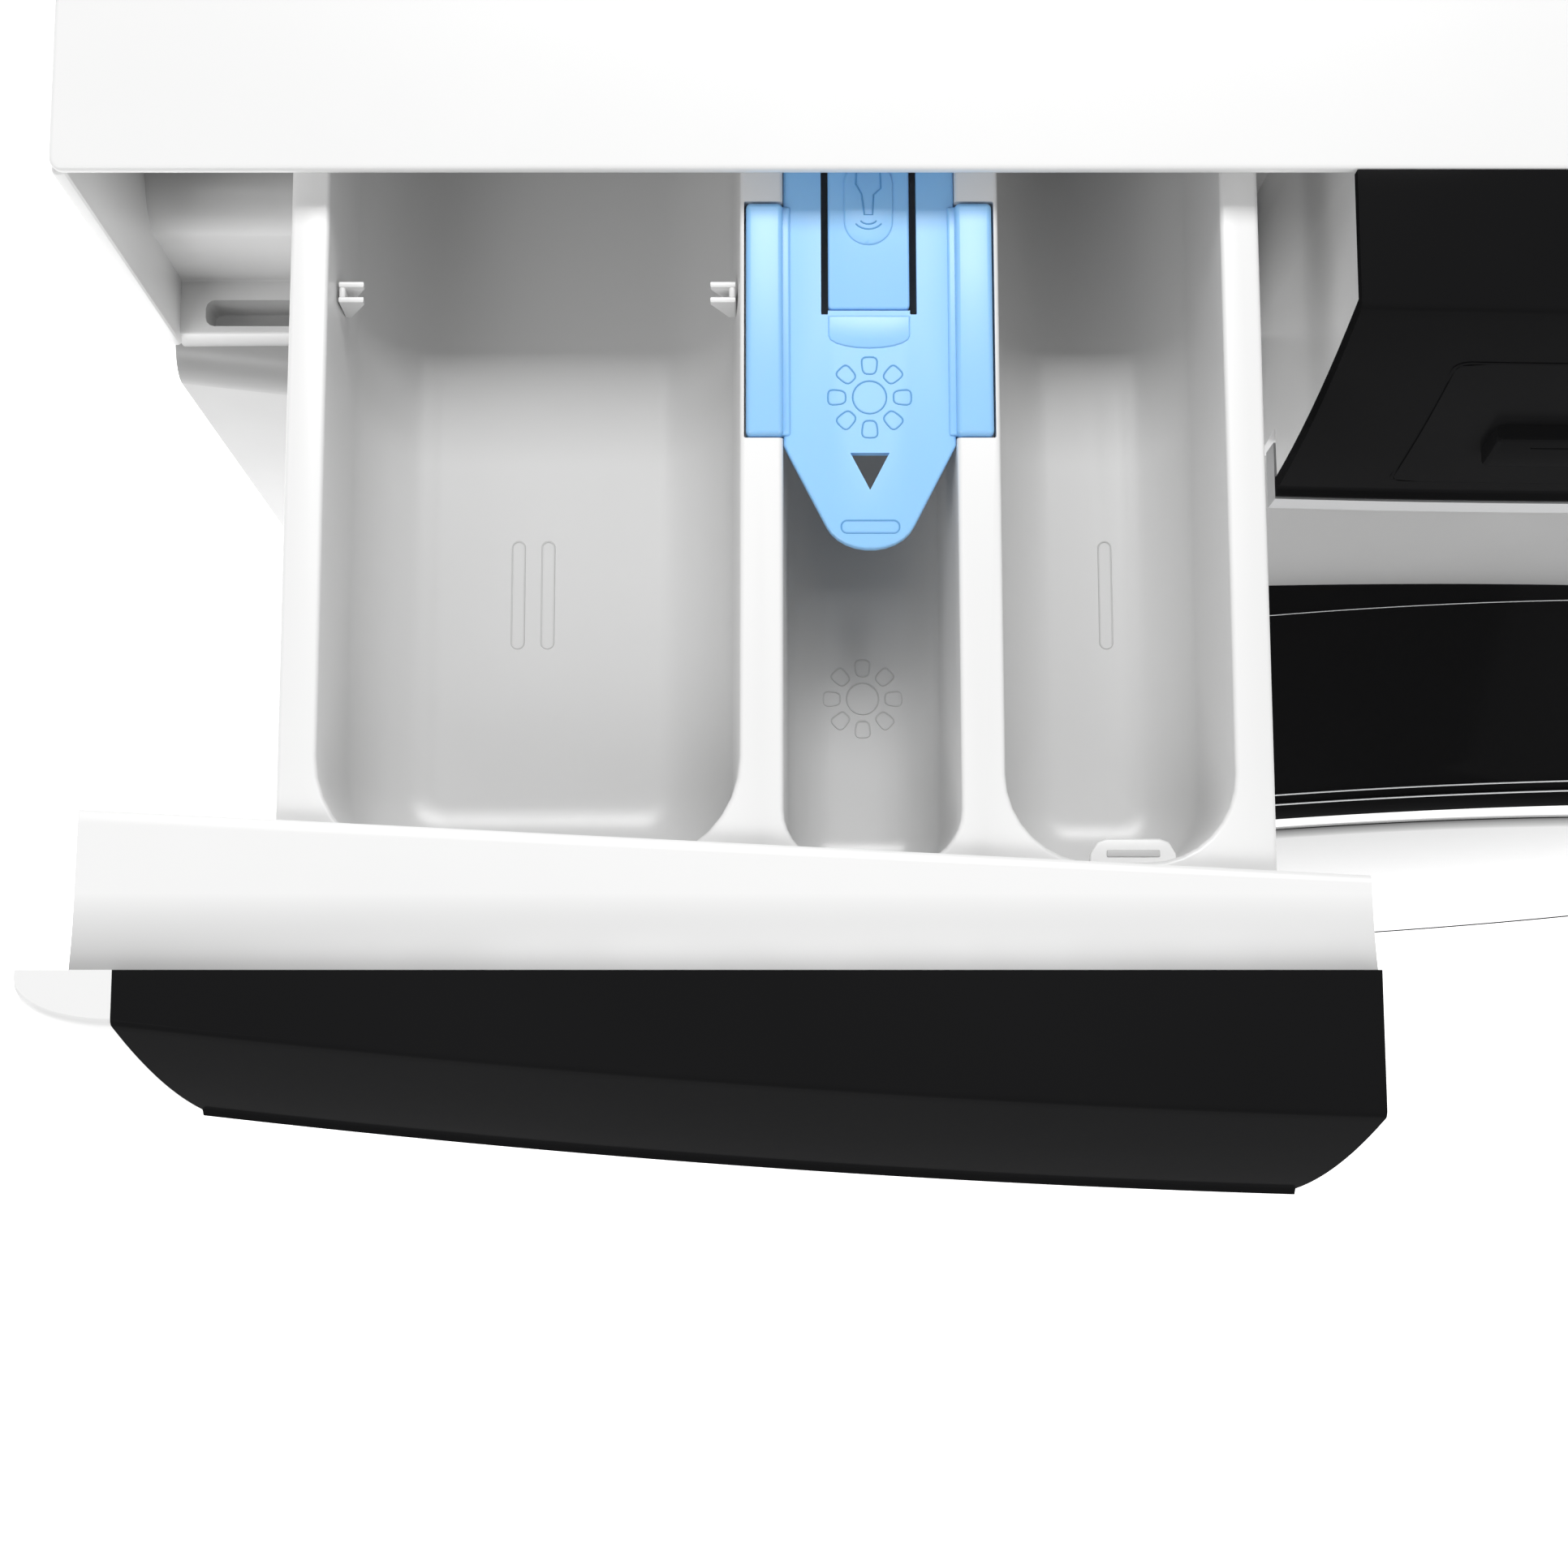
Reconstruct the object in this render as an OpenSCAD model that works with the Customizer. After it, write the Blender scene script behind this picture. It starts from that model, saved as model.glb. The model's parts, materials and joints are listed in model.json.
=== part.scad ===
// Front load washing machine, drawn with its detergent drawer pulled open.
// Millimetres. +Z up, the front faces -Y, and the floor is at z = 0.
// Everything is laid out from the worktop's front edge (y = 0), then shifted so that the
// origin is below the middle of the whole machine.

/* [Cabinet] */
// Overall width
machine_w = 600; // [590:1:720]
// Height from the floor to the worktop
machine_h = 850; // [840:1:1020]
// Depth from the worktop's front edge to the back panel
cabinet_d = 540; // [530:1:660]
// Sheet steel thickness of the sides and back
sheet_t = 1.2; // [0.8:0.1:2]
// Front panel thickness
front_t = 1.5; // [1:0.1:2]
// Height of the levelling feet
foot_h = 14; // [12:1:25]
// Height of the base tray's walls
base_h = 36; // [25:1:45]
// Height of the kick panel
kick_h = 84; // [78:1:90]

/* [Front shape] */
// Radius of the front's curve seen from above
bulge_r = 2516; // [2400:1:3500]
// How far the top ridge stands in front of the worktop at the middle
ridge_f = 25.6; // [20:0.1:32]
// How far the lower front panel stands in front of the worktop at the middle
panel_f = 21.9; // [18:0.1:24]
// Forward lean of the control panel at its top, as a slope
lean = 0.2189; // [0.1:0.01:0.25]
// How fast that lean fades on the way down
lean_fade = 0.000955; // [0:0.0001:0.001]
// Height of the black fascias
fascia_h = 84.6; // [80:0.1:86]
// Wall of the black fascias
fascia_t = 2.8; // [2:0.1:3.5]
// Width of the white ends beside the black fascias
end_w = 16.1; // [12:0.1:20]
// Radius along the top of the lower front panel
panel_top_r = 8.3; // [4:0.1:9]
// Distance from the worktop down to the lower front panel
panel_drop = 111; // [109:1:118]

/* [Drawer] */
// Travel of the drawer
drawer_travel = 136.9; // [100:0.1:140]
// Distance from the machine's side to the end of the drawer front
drawer_w = 225.4; // [220:0.1:250]
// Distance from the machine's side to the tray
tray_left = 40.7; // [36:0.1:45]
// Width of the tray
tray_w = 169.1; // [165:0.1:175]
// Length of the tray
tray_len = 265; // [230:1:280]
// Height of the tray
tray_h = 45.8; // [40:0.1:48]
// Depth of the tray's rim below the worktop
tray_drop = 9.2; // [8:0.1:10]
// Width of the main wash well
main_well_w = 71.7; // [65:0.1:75]
// Width of the softener well
softener_well_w = 30.1; // [28:0.1:33]
// Wall between two wells
divider_w = 7.5; // [6:0.1:9]
// Outer rims of the tray
rim_w = 6.7; // [5:0.1:8]

/* [Control panel] */
// Width of each of the three push keys
key_w = 22; // [16:1:24]
// Height of a push key
key_h = 13.8; // [10:0.1:15]
// Radius of the programme knob
knob_r = 23; // [16:1:25]
// Radius of the start button
start_r = 11; // [8:1:13]

/* [Door] */
// Height of the door's centre, and of the drum's axle
axle_z = 382; // [375:1:395]
// Outer radius of the door where it meets the front
door_r = 228; // [220:1:230]
// Radius of the door at its front rim
door_rim_r = 207.8; // [200:0.1:215]
// How far the door's rim stands in front of the worktop's edge
door_f = 76; // [70:1:85]
// Turn of the door's front face seen from above, in degrees
door_rake = 2.5; // [0:0.1:3]
// Radius of the loading opening
opening_r = 158; // [154:1:160]

/* [Tub and drum] */
// Outer radius of the tub
tub_r = 262; // [256:1:264]
// Tub wall
tub_t = 3.5; // [2.5:0.1:5]
// Outer radius of the drum
drum_r = 240; // [232:1:242]
// Length of the drum
drum_len = 280; // [240:1:300]
// Radius of the drum axle
axle_r = 15; // [12.5:0.5:17.5]
// Radius of the drum pulley
pulley_r = 130; // [110:1:140]
// Radius of the motor pulley
motor_pulley_r = 10; // [8:0.5:12]
// Radius of the motor
motor_r = 48; // [40:1:50]

/* [Connections] */
// Thread radius of the water inlet, 3/4 inch pipe
inlet_r = 13.2; // [13.2]
// Radius of the drain outlet
drain_r = 11; // [9:0.5:12]
// Bore of the mains cable gland
gland_r = 4.5; // [3.5:0.5:5]

/* [Hidden] */
$fn = 96;

// Clearances
snug = 0.1;          // between pieces of one assembly that are slipped together
run = 0.05;          // radial, between a shaft and its bore
gap = 0.6;           // around pieces that move past each other
cut = 1;             // how far a cutter reaches past what it cuts

// Cabinet
half_w = machine_w / 2;
board_t = 1.6;
transit_x = 170;      // the four caps over the transit bolts
transit_z = [-140, 150];
transit_r = 14;
foot_x = 48;         // from the side and from the front and back to a foot's centre
foot_y = 50;
lip_t = 2.3;
lip_z = machine_h - lip_t;
skirt_z = machine_h - 19;
frame_d = 33;
frame_t = 3;
base_z = foot_h;
panel_top_z = machine_h - panel_drop;
kick_z = base_z + kick_h;
ledge_z = panel_top_z + 6;
gap_panels = 2;
fascia_lip = 1;
back_reach = 16;     // how far the connections stand out of the back
bulge_axis_y = bulge_r - ridge_f;
panel_r = bulge_r - ridge_f + panel_f;

// Forward lean of the front at a distance d below the worktop
function lean_at(d) = lean * d - lean_fade * d * d;
// How far the ridge stands in front of the worktop's edge, at x
function ridge_at(x) = ridge_f - bulge_r + sqrt(bulge_r * bulge_r - x * x);
// The front's y at x, and d below the worktop
function front_y(x, d) = -ridge_at(x) - lean_at(d);

// The drawer and its tray, placed as when the drawer is shut
drawer_x0 = -half_w;
drawer_x1 = -half_w + drawer_w;
fascia_x0 = drawer_x0 + end_w;
tray_x0 = -half_w + tray_left;
tray_x1 = tray_x0 + tray_w;
tray_z1 = machine_h - tray_drop;
tray_z0 = tray_z1 - tray_h;
tray_y0 = 11;
tray_floor = 5;
well_y0 = tray_y0 + 7.2;
well_y1 = tray_y0 + tray_len - 6;
main_x0 = tray_x0 + rim_w;
main_x1 = main_x0 + main_well_w;
softener_x0 = main_x1 + divider_w;
softener_x1 = softener_x0 + softener_well_w;
prewash_x0 = softener_x1 + divider_w;
prewash_x1 = tray_x1 - rim_w;
softener_x = (softener_x0 + softener_x1) / 2;
wing_w = 6.4;
wing_y0 = drawer_travel - 44.7;
wing_y1 = drawer_travel - 2.8;
wing_h = 5;
insert_t = 2;
insert_z1 = tray_z1 - 1.3;
tongue_w = 14.3;
tongue_slot = 1.2;
tongue_y0 = drawer_travel - 22.6;
tongue_y1 = drawer_travel + 35;
tongue_bead_y = tongue_y0 + insert_t / 2 + 0.4;
insert_y1 = well_y1 - 5;
housing_t = 2.5;
housing_gap = 3;
housing_y1 = tray_y0 + tray_len + 24;
spout_r = 14;
spout_x = max(softener_x0 - 30, -0.78 * tub_r);
spout_y = 200;
housing_z0 = tray_z0 - 13;
feed_z = tray_z0 + 4;

// Control panel
panel_x0 = drawer_x1;
panel_x1 = half_w - end_w;
inlay_x0 = panel_x0 + 20.2;
inlay_x1 = panel_x1 - 20;
inlay_d0 = 18.4;
inlay_d1 = 75.4;
inlay_t = 0.8;
key_x0 = panel_x0 + 34;
key_pitch = 24;
key_d0 = 44.2;
key_proud = 3.2;
knob_x = panel_x1 - 116;
start_x = panel_x1 - 56;
knob_d = (inlay_d0 + inlay_d1) / 2;
knob_tilt = atan(lean - 2 * lean_fade * knob_d);
knob_h = 15;
spindle_r = 3;
trim_d0 = fascia_h + 1;
trim_d1 = fascia_h + 9.2;
trim_lean = lean_at(fascia_h) + 1.1;

// Door
hinge_x = -door_r - 8;
hinge_f = 44;
hinge_pin_r = 4;
knuckle_r = 8;
leaf_h = 78;
arm_h = 12;
door_slope = (door_r - door_rim_r) / (door_f - panel_f - 2);
function door_r_at(f) = door_r - door_slope * (f - panel_f);
door_wall = 3;
cover_r = 168;
inner_f0 = panel_f + 2.1;
inner_f1 = inner_f0 + 6;
glass_hole_r = opening_r - 12;
glass_depth = 75;
handle_x = 200;
handle_f = 40;
handle_h = 76;
lock_x = 193;
hook_slot = [-8, 14];   // the hook's slot, to the left and right of it

// Tub, drum and drive, from front to back
gasket_y = 70;
tub_y0 = 72;
tub_y1 = 412;
tub_split = 240;
drum_y0 = 92;
drum_y1 = drum_y0 + drum_len;
drum_t = 1.5;
spider_t = 20;
hub_y1 = 440;
hub_r = 42;
bearing_r = 31;
bearing_w = 16;
pulley_y0 = 446;
pulley_w = 18;
shaft_y1 = 472;
motor_x = 120;
motor_z = 85 + axle_z - 382;
motor_y0 = 250;
motor_y1 = 400;
belt_t = 2;
belt_gap = 0.3;
spring_x = half_w - 85;
spring_y = 330;
spring_r = 11;
wire_r = 1.8;
spring_turns = 12;
lug_z = axle_z + 178;
lug_root_x = sqrt(pow(tub_r, 2) - pow(lug_z - 15 - axle_z, 2));
brace_z = machine_h - 35;
damper_x = 190;
damper_y = 215;
rod_r = 10;
// Under the tub's wall, at the inner side of each lug
damper_lug_z = axle_z - sqrt(pow(tub_r, 2) - pow(damper_x - 10, 2)) - 6;
pump_x = half_w - 95;
pump_z = 55;
pump_r = 32;
pump_y0 = 45;
pump_y1 = 140;
flap_w = 110;
flap_h = 66;
flap_gap = 0.8;
flap_z = base_z + 8 + 2 * flap_gap;   // the flap's lower edge
flap_hinge = 3;       // from there up to the axis it turns on
heater_rod_r = 4.2;
heater_z = axle_z - tub_r + 13;
hose_r = 9;
hose_stub = 6;        // straight stretch at a hose's end
sump_hose_r = 12;
sump_x = 60;
sump_y = 150;
sump_z = axle_z - tub_r - 15;
neck_z = axle_z + sqrt(tub_r * tub_r - spout_x * spout_x) + 28;

// Overall depth: from the open drawer's lip to the connections at the back
front_reach = drawer_travel + ridge_at(drawer_x1 - gap) + lean_at(fascia_h) + fascia_lip;
origin_y = (front_reach - cabinet_d - back_reach) / 2;

// Colours
WHITE = [0.93, 0.93, 0.92];
GLOSS_BLACK = [0.06, 0.06, 0.065];
LIGHT_GREY = [0.72, 0.73, 0.74];
PLASTIC_GREY = [0.62, 0.63, 0.64];
PALE_BLUE = [0.6, 0.8, 0.98];
STEEL = [0.75, 0.76, 0.77];
RUBBER = [0.35, 0.36, 0.37];
IRON = [0.45, 0.44, 0.43];

// Moves a piece from the worktop-edge layout to the machine's own origin.
module place(c) { color(c) translate([0, origin_y, 0]) children(); }
// The same for what rides on the drawer, which is drawn open.
module place_drawer(c) { color(c) translate([0, origin_y - drawer_travel, 0]) children(); }

// A box given by its two corners.
module box(a, b) { translate(a) cube(b - a); }

// A round bar along Y, from y0 to y1.
module bar_y(r, y0, y1) { translate([0, y0, 0]) rotate([-90, 0, 0]) cylinder(r = r, h = y1 - y0); }
// A round bar along X, from x0 to x1.
module bar_x(r, x0, x1) { translate([x0, 0, 0]) rotate([0, 90, 0]) cylinder(r = r, h = x1 - x0); }
// Turns a profile of [radius, distance forward] around the door's axis.
module turned_y(points) { rotate([90, 0, 0]) rotate_extrude() polygon(points); }
// Puts something at the height of the axle.
module on_axle() { translate([0, 0, axle_z]) children(); }

// A flat plate with rounded corners of radius r, seen from above.
module rounded_plate(a, b, r) {
    for (x = [a.x + r, b.x - r], y = [a.y + r, b.y - r])
        translate([x, y, a.z]) cylinder(r = r, h = b.z - a.z, $fn = 32);
    box([a.x + r, a.y, a.z], [b.x - r, b.y, b.z]);
    box([a.x, a.y + r, a.z], [b.x, b.y - r, b.z]);
}

// The curved front as a solid: its leaning face is set back by inset, and it reaches from d0 to d1
// below the worktop, from x0 to x1, and back to the plane y = yb.
module front_solid(inset, d0, d1, x0, x1, yb) {
    steps = 10;
    face = [for (i = [0:steps]) let (d = d0 + (d1 - d0) * i / steps)
        [bulge_r + lean_at(d) - inset, machine_h - d]];
    back = bulge_axis_y - yb - 60;
    intersection() {
        translate([0, bulge_axis_y, 0])
            rotate_extrude($fn = 256)
                polygon(concat([[back, machine_h - d0]], face, [[back, machine_h - d1]]));
        box([x0, -100, machine_h - d1 - cut], [x1, yb, machine_h - d0 + cut]);
    }
}

// Everything in front of a vertical curved face of radius r, for cutting or filling.
module ahead_of(r, x0, x1, z0, z1) {
    difference() {
        box([x0, -180, z0], [x1, 30, z1]);
        translate([0, bulge_axis_y, z0 - cut]) cylinder(r = r, h = z1 - z0 + 2 * cut, $fn = 256);
    }
}

// The lower front's curved sheet, between two heights.
module curved_sheet(z0, z1) {
    difference() {
        intersection() {
            translate([0, bulge_axis_y, z0]) cylinder(r = panel_r, h = z1 - z0, $fn = 256);
            box([-half_w, -60, z0], [half_w, 30, z1]);
        }
        translate([0, bulge_axis_y, z0 - cut])
            cylinder(r = panel_r - front_t, h = z1 - z0 + 2 * cut, $fn = 256);
    }
    for (s = [-1, 1])
        box([s > 0 ? half_w - sheet_t : -half_w, -panel_f + half_w * half_w / 2 / bulge_r + front_t, z0],
            [s > 0 ? half_w : -half_w + sheet_t, 8, z1]);
}

// Sweeps a round section of radius r along a route, as one closed mesh.
module sweep(route, r, sides, up = [0, 0, 1]) {
    n = len(route);
    function along(i) = route[min(i + 1, n - 1)] - route[max(i - 1, 0)];
    function unit(v) = v / norm(v);
    rings = [for (i = [0:n - 1]) let (t = unit(along(i)), a = unit(cross(t, up)), b = cross(t, a))
        for (k = [0:sides - 1]) route[i] + r * (cos(360 * k / sides) * a + sin(360 * k / sides) * b)];
    // Two triangles for each side of each stretch
    wall = [for (i = [0:n - 2], k = [0:sides - 1], half = [0, 1])
        let (m = (k + 1) % sides, here = i * sides, next = here + sides)
        half == 0 ? [next + m, here + m, here + k] : [next + k, next + m, here + k]];
    ends = [[for (k = [0:sides - 1]) k], [for (k = [sides - 1:-1:0]) (n - 1) * sides + k]];
    polyhedron(rings, concat(wall, ends), convexity = 10);
}
// A smooth route between two points that leaves along da and arrives along db.
function route(a, da, b, db, n) = [for (i = [0:n]) let (t = i / n, u = 1 - t)
    u * u * u * a + 3 * u * u * t * (a + da) + 3 * u * t * t * (b - db) + t * t * t * b];
// The same with a straight end piece at each end, so that both ends are square.
function hose_route(a, da, b, db, n) =
    let (a1 = a + hose_stub * da / norm(da), b1 = b - hose_stub * db / norm(db))
    concat([a], route(a1, da, b1, db, n), [b]);

// ---- Cabinet ----

module base_tray() place(STEEL) difference() {
    x1 = half_w - sheet_t;
    wall = 2;
    box([-x1, 10, base_z], [x1, cabinet_d - sheet_t, base_z + base_h]);
    box([-x1 + wall, 10 + wall, base_z + wall],
        [x1 - wall, cabinet_d - sheet_t - wall, base_z + base_h + cut]);
    // Opening for the filter
    box([pump_x - flap_w / 2, 0, base_z + 6], [pump_x + flap_w / 2, 20, base_z + base_h + cut]);
    each_foot() translate([0, 0, base_z - cut]) cylinder(r = 5.3, h = wall + 2 * cut);
}

module each_foot() for (x = [-1, 1], y = [foot_y, cabinet_d - foot_y])
    translate([x * (half_w - foot_x), y, 0]) children();

module levelling_feet() place(GLOSS_BLACK) each_foot() {
    cylinder(r = 22, h = foot_h - 5);
    translate([0, 0, foot_h - 5]) cylinder(r = 10, h = 5, $fn = 6);
    translate([0, 0, foot_h - 5]) cylinder(r = 5, h = 30);
}

module side_panel(s) place(WHITE) {
    x0 = s > 0 ? half_w - sheet_t : -half_w;
    box([x0, 8, base_z], [x0 + sheet_t, cabinet_d, ledge_z]);
    box([x0, frame_d, ledge_z], [x0 + sheet_t, cabinet_d, skirt_z]);
    box([s > 0 ? half_w - 20 : -half_w, 8, base_z + base_h],
        [s > 0 ? half_w : -half_w + 20, 8 + sheet_t, panel_top_z - 20]);
}
module side_panel_left() side_panel(-1);
module side_panel_right() side_panel(1);

module back_panel() place(WHITE) difference() {
    x1 = half_w - sheet_t;
    union() {
        box([-x1, cabinet_d - sheet_t, base_z], [x1, cabinet_d, skirt_z]);
        on_axle() bar_y(160, cabinet_d, cabinet_d + 3);
        // Heads of the four transit bolt caps
        for (x = [-transit_x, transit_x], z = transit_z)
            translate([x, 0, axle_z + z]) bar_y(transit_r, cabinet_d, cabinet_d + 4);
    }
    at_inlet() bar_y(inlet_r + 0.8, cabinet_d - 10, cabinet_d + cut);
    at_drain() bar_y(drain_r + 0.8, cabinet_d - 10, cabinet_d + cut);
    at_gland() bar_y(12.3, cabinet_d - 10, cabinet_d + cut);
}
module at_inlet() translate([half_w - 70, 0, machine_h - 60]) children();
module at_drain() translate([half_w - 45, 0, machine_h - 150]) children();
module at_gland() translate([-half_w + 70, 0, 150]) children();

module worktop() place(WHITE) {
    box([-half_w, 0, lip_z], [half_w, cabinet_d, machine_h]);
    for (s = [-1, 1]) box([s > 0 ? half_w - 12 : -half_w, frame_d, skirt_z],
        [s > 0 ? half_w : -half_w + 12, cabinet_d, lip_z]);
    box([-half_w + 12, cabinet_d - 12, skirt_z], [half_w - 12, cabinet_d, lip_z]);
    // Stiffening ribs, clear of the dispenser
    for (y = [150, 270, 390]) box([drawer_x1 + 20, y, lip_z - 10], [half_w - 12, y + 8, lip_z]);
}

module surround_frame() place(WHITE) {
    wall = 2.8;
    difference() {
        box([-half_w, frame_d - frame_t, ledge_z], [half_w, frame_d, lip_z]);
        box([tray_x0 - housing_gap, 0, tray_z0 - 5], [tray_x1 + housing_gap, frame_d + cut, tray_z1 + 4]);
    }
    for (x = [-half_w, half_w - wall]) box([x, 0, ledge_z], [x + wall, frame_d - frame_t, lip_z]);
    difference() {
        box([-half_w + wall, 4, ledge_z], [half_w - wall, frame_d - frame_t, ledge_z + 3]);
        rounded_plate([-half_w + 7.4, 5.5, ledge_z - cut], [-half_w + 23.9, 16, ledge_z + 3 + cut], 2);
    }
    // Wall that closes the left end of the control panel
    front_solid(fascia_t + snug, 2.6, fascia_h, panel_x0 + 0.2, panel_x0 + 3, frame_d - frame_t);
    box([panel_x0 + 0.2, 3, ledge_z + 3], [panel_x0 + 3, frame_d - frame_t, machine_h - fascia_h]);
    end_block(1, 1);
}

// White end of the front, s = -1 on the left and 1 on the right, reaching back to y = yb.
module end_block(s, yb) {
    x = [for (w = [0, 4, 10, end_w]) s * (half_w - w)];
    rounding = [[x[0], yb], [x[0], -7.5], [x[1], -13], [x[2], -17.5], [x[3], -21.5], [x[3], yb]];
    intersection() {
        front_solid(0, lip_t * max(0, s), fascia_h, min(x[0], x[3]), max(x[0], x[3]), yb);
        translate([0, 0, machine_h - fascia_h]) linear_extrude(fascia_h) polygon(rounding);
    }
    if (s > 0) front_solid(0, 0, lip_t, x[3], x[0] - 3, 0);
}

// A fascia: a top plate level with the worktop, and the leaning front wall with a lip below it.
module fascia(x0, x1, yb, lip) {
    difference() {
        union() {
            front_solid(0, 0, fascia_h, x0, x1, yb);
            front_solid(-lip, fascia_h - 1.5, fascia_h, x0, x1, yb);
        }
        front_solid(fascia_t, 2.5, fascia_h + cut, x0 - cut, x1 + cut, yb + cut);
    }
}

// Puts +Z along the control panel's outward normal at x, d below the worktop.
module on_panel(x, d) {
    translate([x, front_y(x, d), machine_h - d])
        rotate([0, 0, asin(x / bulge_r)]) rotate([90 - knob_tilt, 0, 0]) children();
}

module key_holes(margin) {
    for (i = [0:2]) let (x = key_x0 + i * key_pitch)
        box([x - margin, -60, machine_h - key_d0 - key_h - margin],
            [x + key_w + margin, 0, machine_h - key_d0 + margin]);
    on_panel(knob_x, knob_d) translate([0, 0, -20]) cylinder(r = spindle_r + 0.4, h = 40);
    on_panel(start_x, knob_d) translate([0, 0, -20]) cylinder(r = start_r + 0.4, h = 40);
}

module control_panel() place(GLOSS_BLACK) difference() {
    fascia(panel_x0, panel_x1, 0, fascia_lip);
    difference() {
        front_solid(-cut, inlay_d0, inlay_d1, inlay_x0, inlay_x1, 0);
        front_solid(inlay_t, inlay_d0 - cut, inlay_d1 + cut, inlay_x0 - cut, inlay_x1 + cut, cut);
    }
    key_holes(0.4);
}

module panel_inlay() place(GLOSS_BLACK) difference() {
    front_solid(0.1, inlay_d0 + 0.3, inlay_d1 - 0.3, inlay_x0 + 0.3, inlay_x1 - 0.3, 0);
    front_solid(inlay_t, inlay_d0 - cut, inlay_d1 + cut, inlay_x0 - cut, inlay_x1 + cut, cut);
    key_holes(0.4);
}

module panel_trim() place(LIGHT_GREY) intersection() {
    translate([0, bulge_axis_y, machine_h - trim_d1]) difference() {
        cylinder(r = bulge_r + trim_lean, h = trim_d1 - trim_d0, $fn = 256);
        translate([0, 0, -cut])
            cylinder(r = bulge_r + trim_lean - 12, h = trim_d1 - trim_d0 + 2 * cut, $fn = 256);
    }
    box([panel_x0, -80, machine_h - trim_d1], [panel_x1, 0, machine_h - trim_d0]);
}

module control_board() place([0.1, 0.4, 0.2]) {
    y0 = -min(4.6, ridge_at(panel_x1 - 12) + lean_at(12) - fascia_t - 1);
    y1 = y0 + board_t;
    box([panel_x0 + 12, y0, machine_h - 78], [panel_x1 - 12, y1, machine_h - 12]);
    // Transformer and relays
    box([panel_x0 + 110, y1, machine_h - 70], [panel_x0 + 170, 12, machine_h - 20]);
    box([panel_x1 - 70, y1, machine_h - 60], [panel_x1 - 40, 8, machine_h - 25]);
}

module push_key(i) place(GLOSS_BLACK) {
    x = key_x0 + i * key_pitch;
    difference() {
        front_solid(-key_proud, key_d0, key_d0 + key_h, x, x + key_w, -10);
        front_solid(6, key_d0 + 2, key_d0 + key_h - 2, x + 2, x + key_w - 2, -9);
    }
}
module push_key_1() push_key(0);
module push_key_2() push_key(1);
module push_key_3() push_key(2);

module programme_knob() place(LIGHT_GREY) on_panel(knob_x, knob_d) {
    translate([0, 0, 1.2]) cylinder(r = knob_r, h = 3);
    translate([0, 0, 4.2]) difference() {
        cylinder(r1 = knob_r - 2, r2 = knob_r - 4, h = knob_h - 4.2);
        translate([-1, knob_r - 10, knob_h - 5.2]) cube([2, 8, 2]);
    }
    translate([0, 0, -12]) cylinder(r = spindle_r, h = 14);
}

module start_button() place(LIGHT_GREY) on_panel(start_x, knob_d) {
    translate([0, 0, -6]) cylinder(r = start_r, h = 8.4);
}

module dispenser_housing() place(PLASTIC_GREY) {
    x0 = tray_x0 - housing_gap - housing_t;
    x1 = tray_x1 + housing_gap + housing_t;
    z1 = tray_z1 + 5.7;
    difference() {
        union() {
            box([x0, frame_d, housing_z0], [x1, housing_y1, z1]);
            translate([spout_x, spout_y, housing_z0 - 22]) cylinder(r = spout_r, h = 23);
            translate([softener_x, 0, feed_z]) bar_y(hose_r, housing_y1 - cut, housing_y1 + 12);
        }
        box([x0 + housing_t, frame_d - cut, housing_z0 + housing_t],
            [x1 - housing_t, housing_y1 - housing_t, tray_z1 + 3.2]);
        translate([spout_x, spout_y, housing_z0 - 22 - cut]) cylinder(r = spout_r - 2, h = 30);
        translate([softener_x, 0, feed_z]) bar_y(hose_r - 2, housing_y1 - 5, housing_y1 + 13);
    }
}

module inlet_valve() place(WHITE) at_inlet() {
    box([-20, cabinet_d - 62, -18], [20, cabinet_d - sheet_t, 18]);
    difference() {
        bar_y(inlet_r, cabinet_d - sheet_t - cut, cabinet_d + back_reach);
        bar_y(9, cabinet_d, cabinet_d + back_reach + cut);
    }
    translate([0, cabinet_d - 45, 0]) bar_x(hose_r, -32, -20);
}

module fill_hose() place(RUBBER) {
    valve = [half_w - 102, cabinet_d - 45, machine_h - 60];
    inlet = [softener_x, housing_y1 + 12, feed_z];
    sweep(hose_route(valve, [-150, 0, 0], inlet, [0, -90, 0], 20), hose_r, 12);
}

module door_lock() place(WHITE) difference() {
    box([lock_x - 14, -30, axle_z - 42], [lock_x + 20, 36, axle_z + 42]);
    ahead_of(panel_r - front_t, lock_x - 30, lock_x + 30, axle_z - 60, axle_z + 60);
    hook_space(-40, 14);
}
// What the door's hook moves in, from y0 to y1.
module hook_space(y0, y1)
    box([lock_x + hook_slot[0], y0, axle_z - 15], [lock_x + hook_slot[1], y1, axle_z + 15]);

// The fixed half of the door hinge: two arms with bores for the pin.
module hinge_bracket() place(STEEL) for (s = [-1, 1]) {
    z0 = axle_z + (s > 0 ? leaf_h / 2 + gap : -leaf_h / 2 - gap - arm_h);
    difference() {
        union() {
            box([hinge_x - knuckle_r, -hinge_f, z0], [hinge_x + knuckle_r, 0, z0 + arm_h]);
            translate([hinge_x, -hinge_f, z0]) cylinder(r = knuckle_r, h = arm_h);
        }
        translate([0, bulge_axis_y, z0 - cut]) cylinder(r = panel_r, h = arm_h + 2 * cut, $fn = 256);
        translate([hinge_x, -hinge_f, z0 - cut]) cylinder(r = hinge_pin_r + run, h = arm_h + 2 * cut);
    }
}

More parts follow.
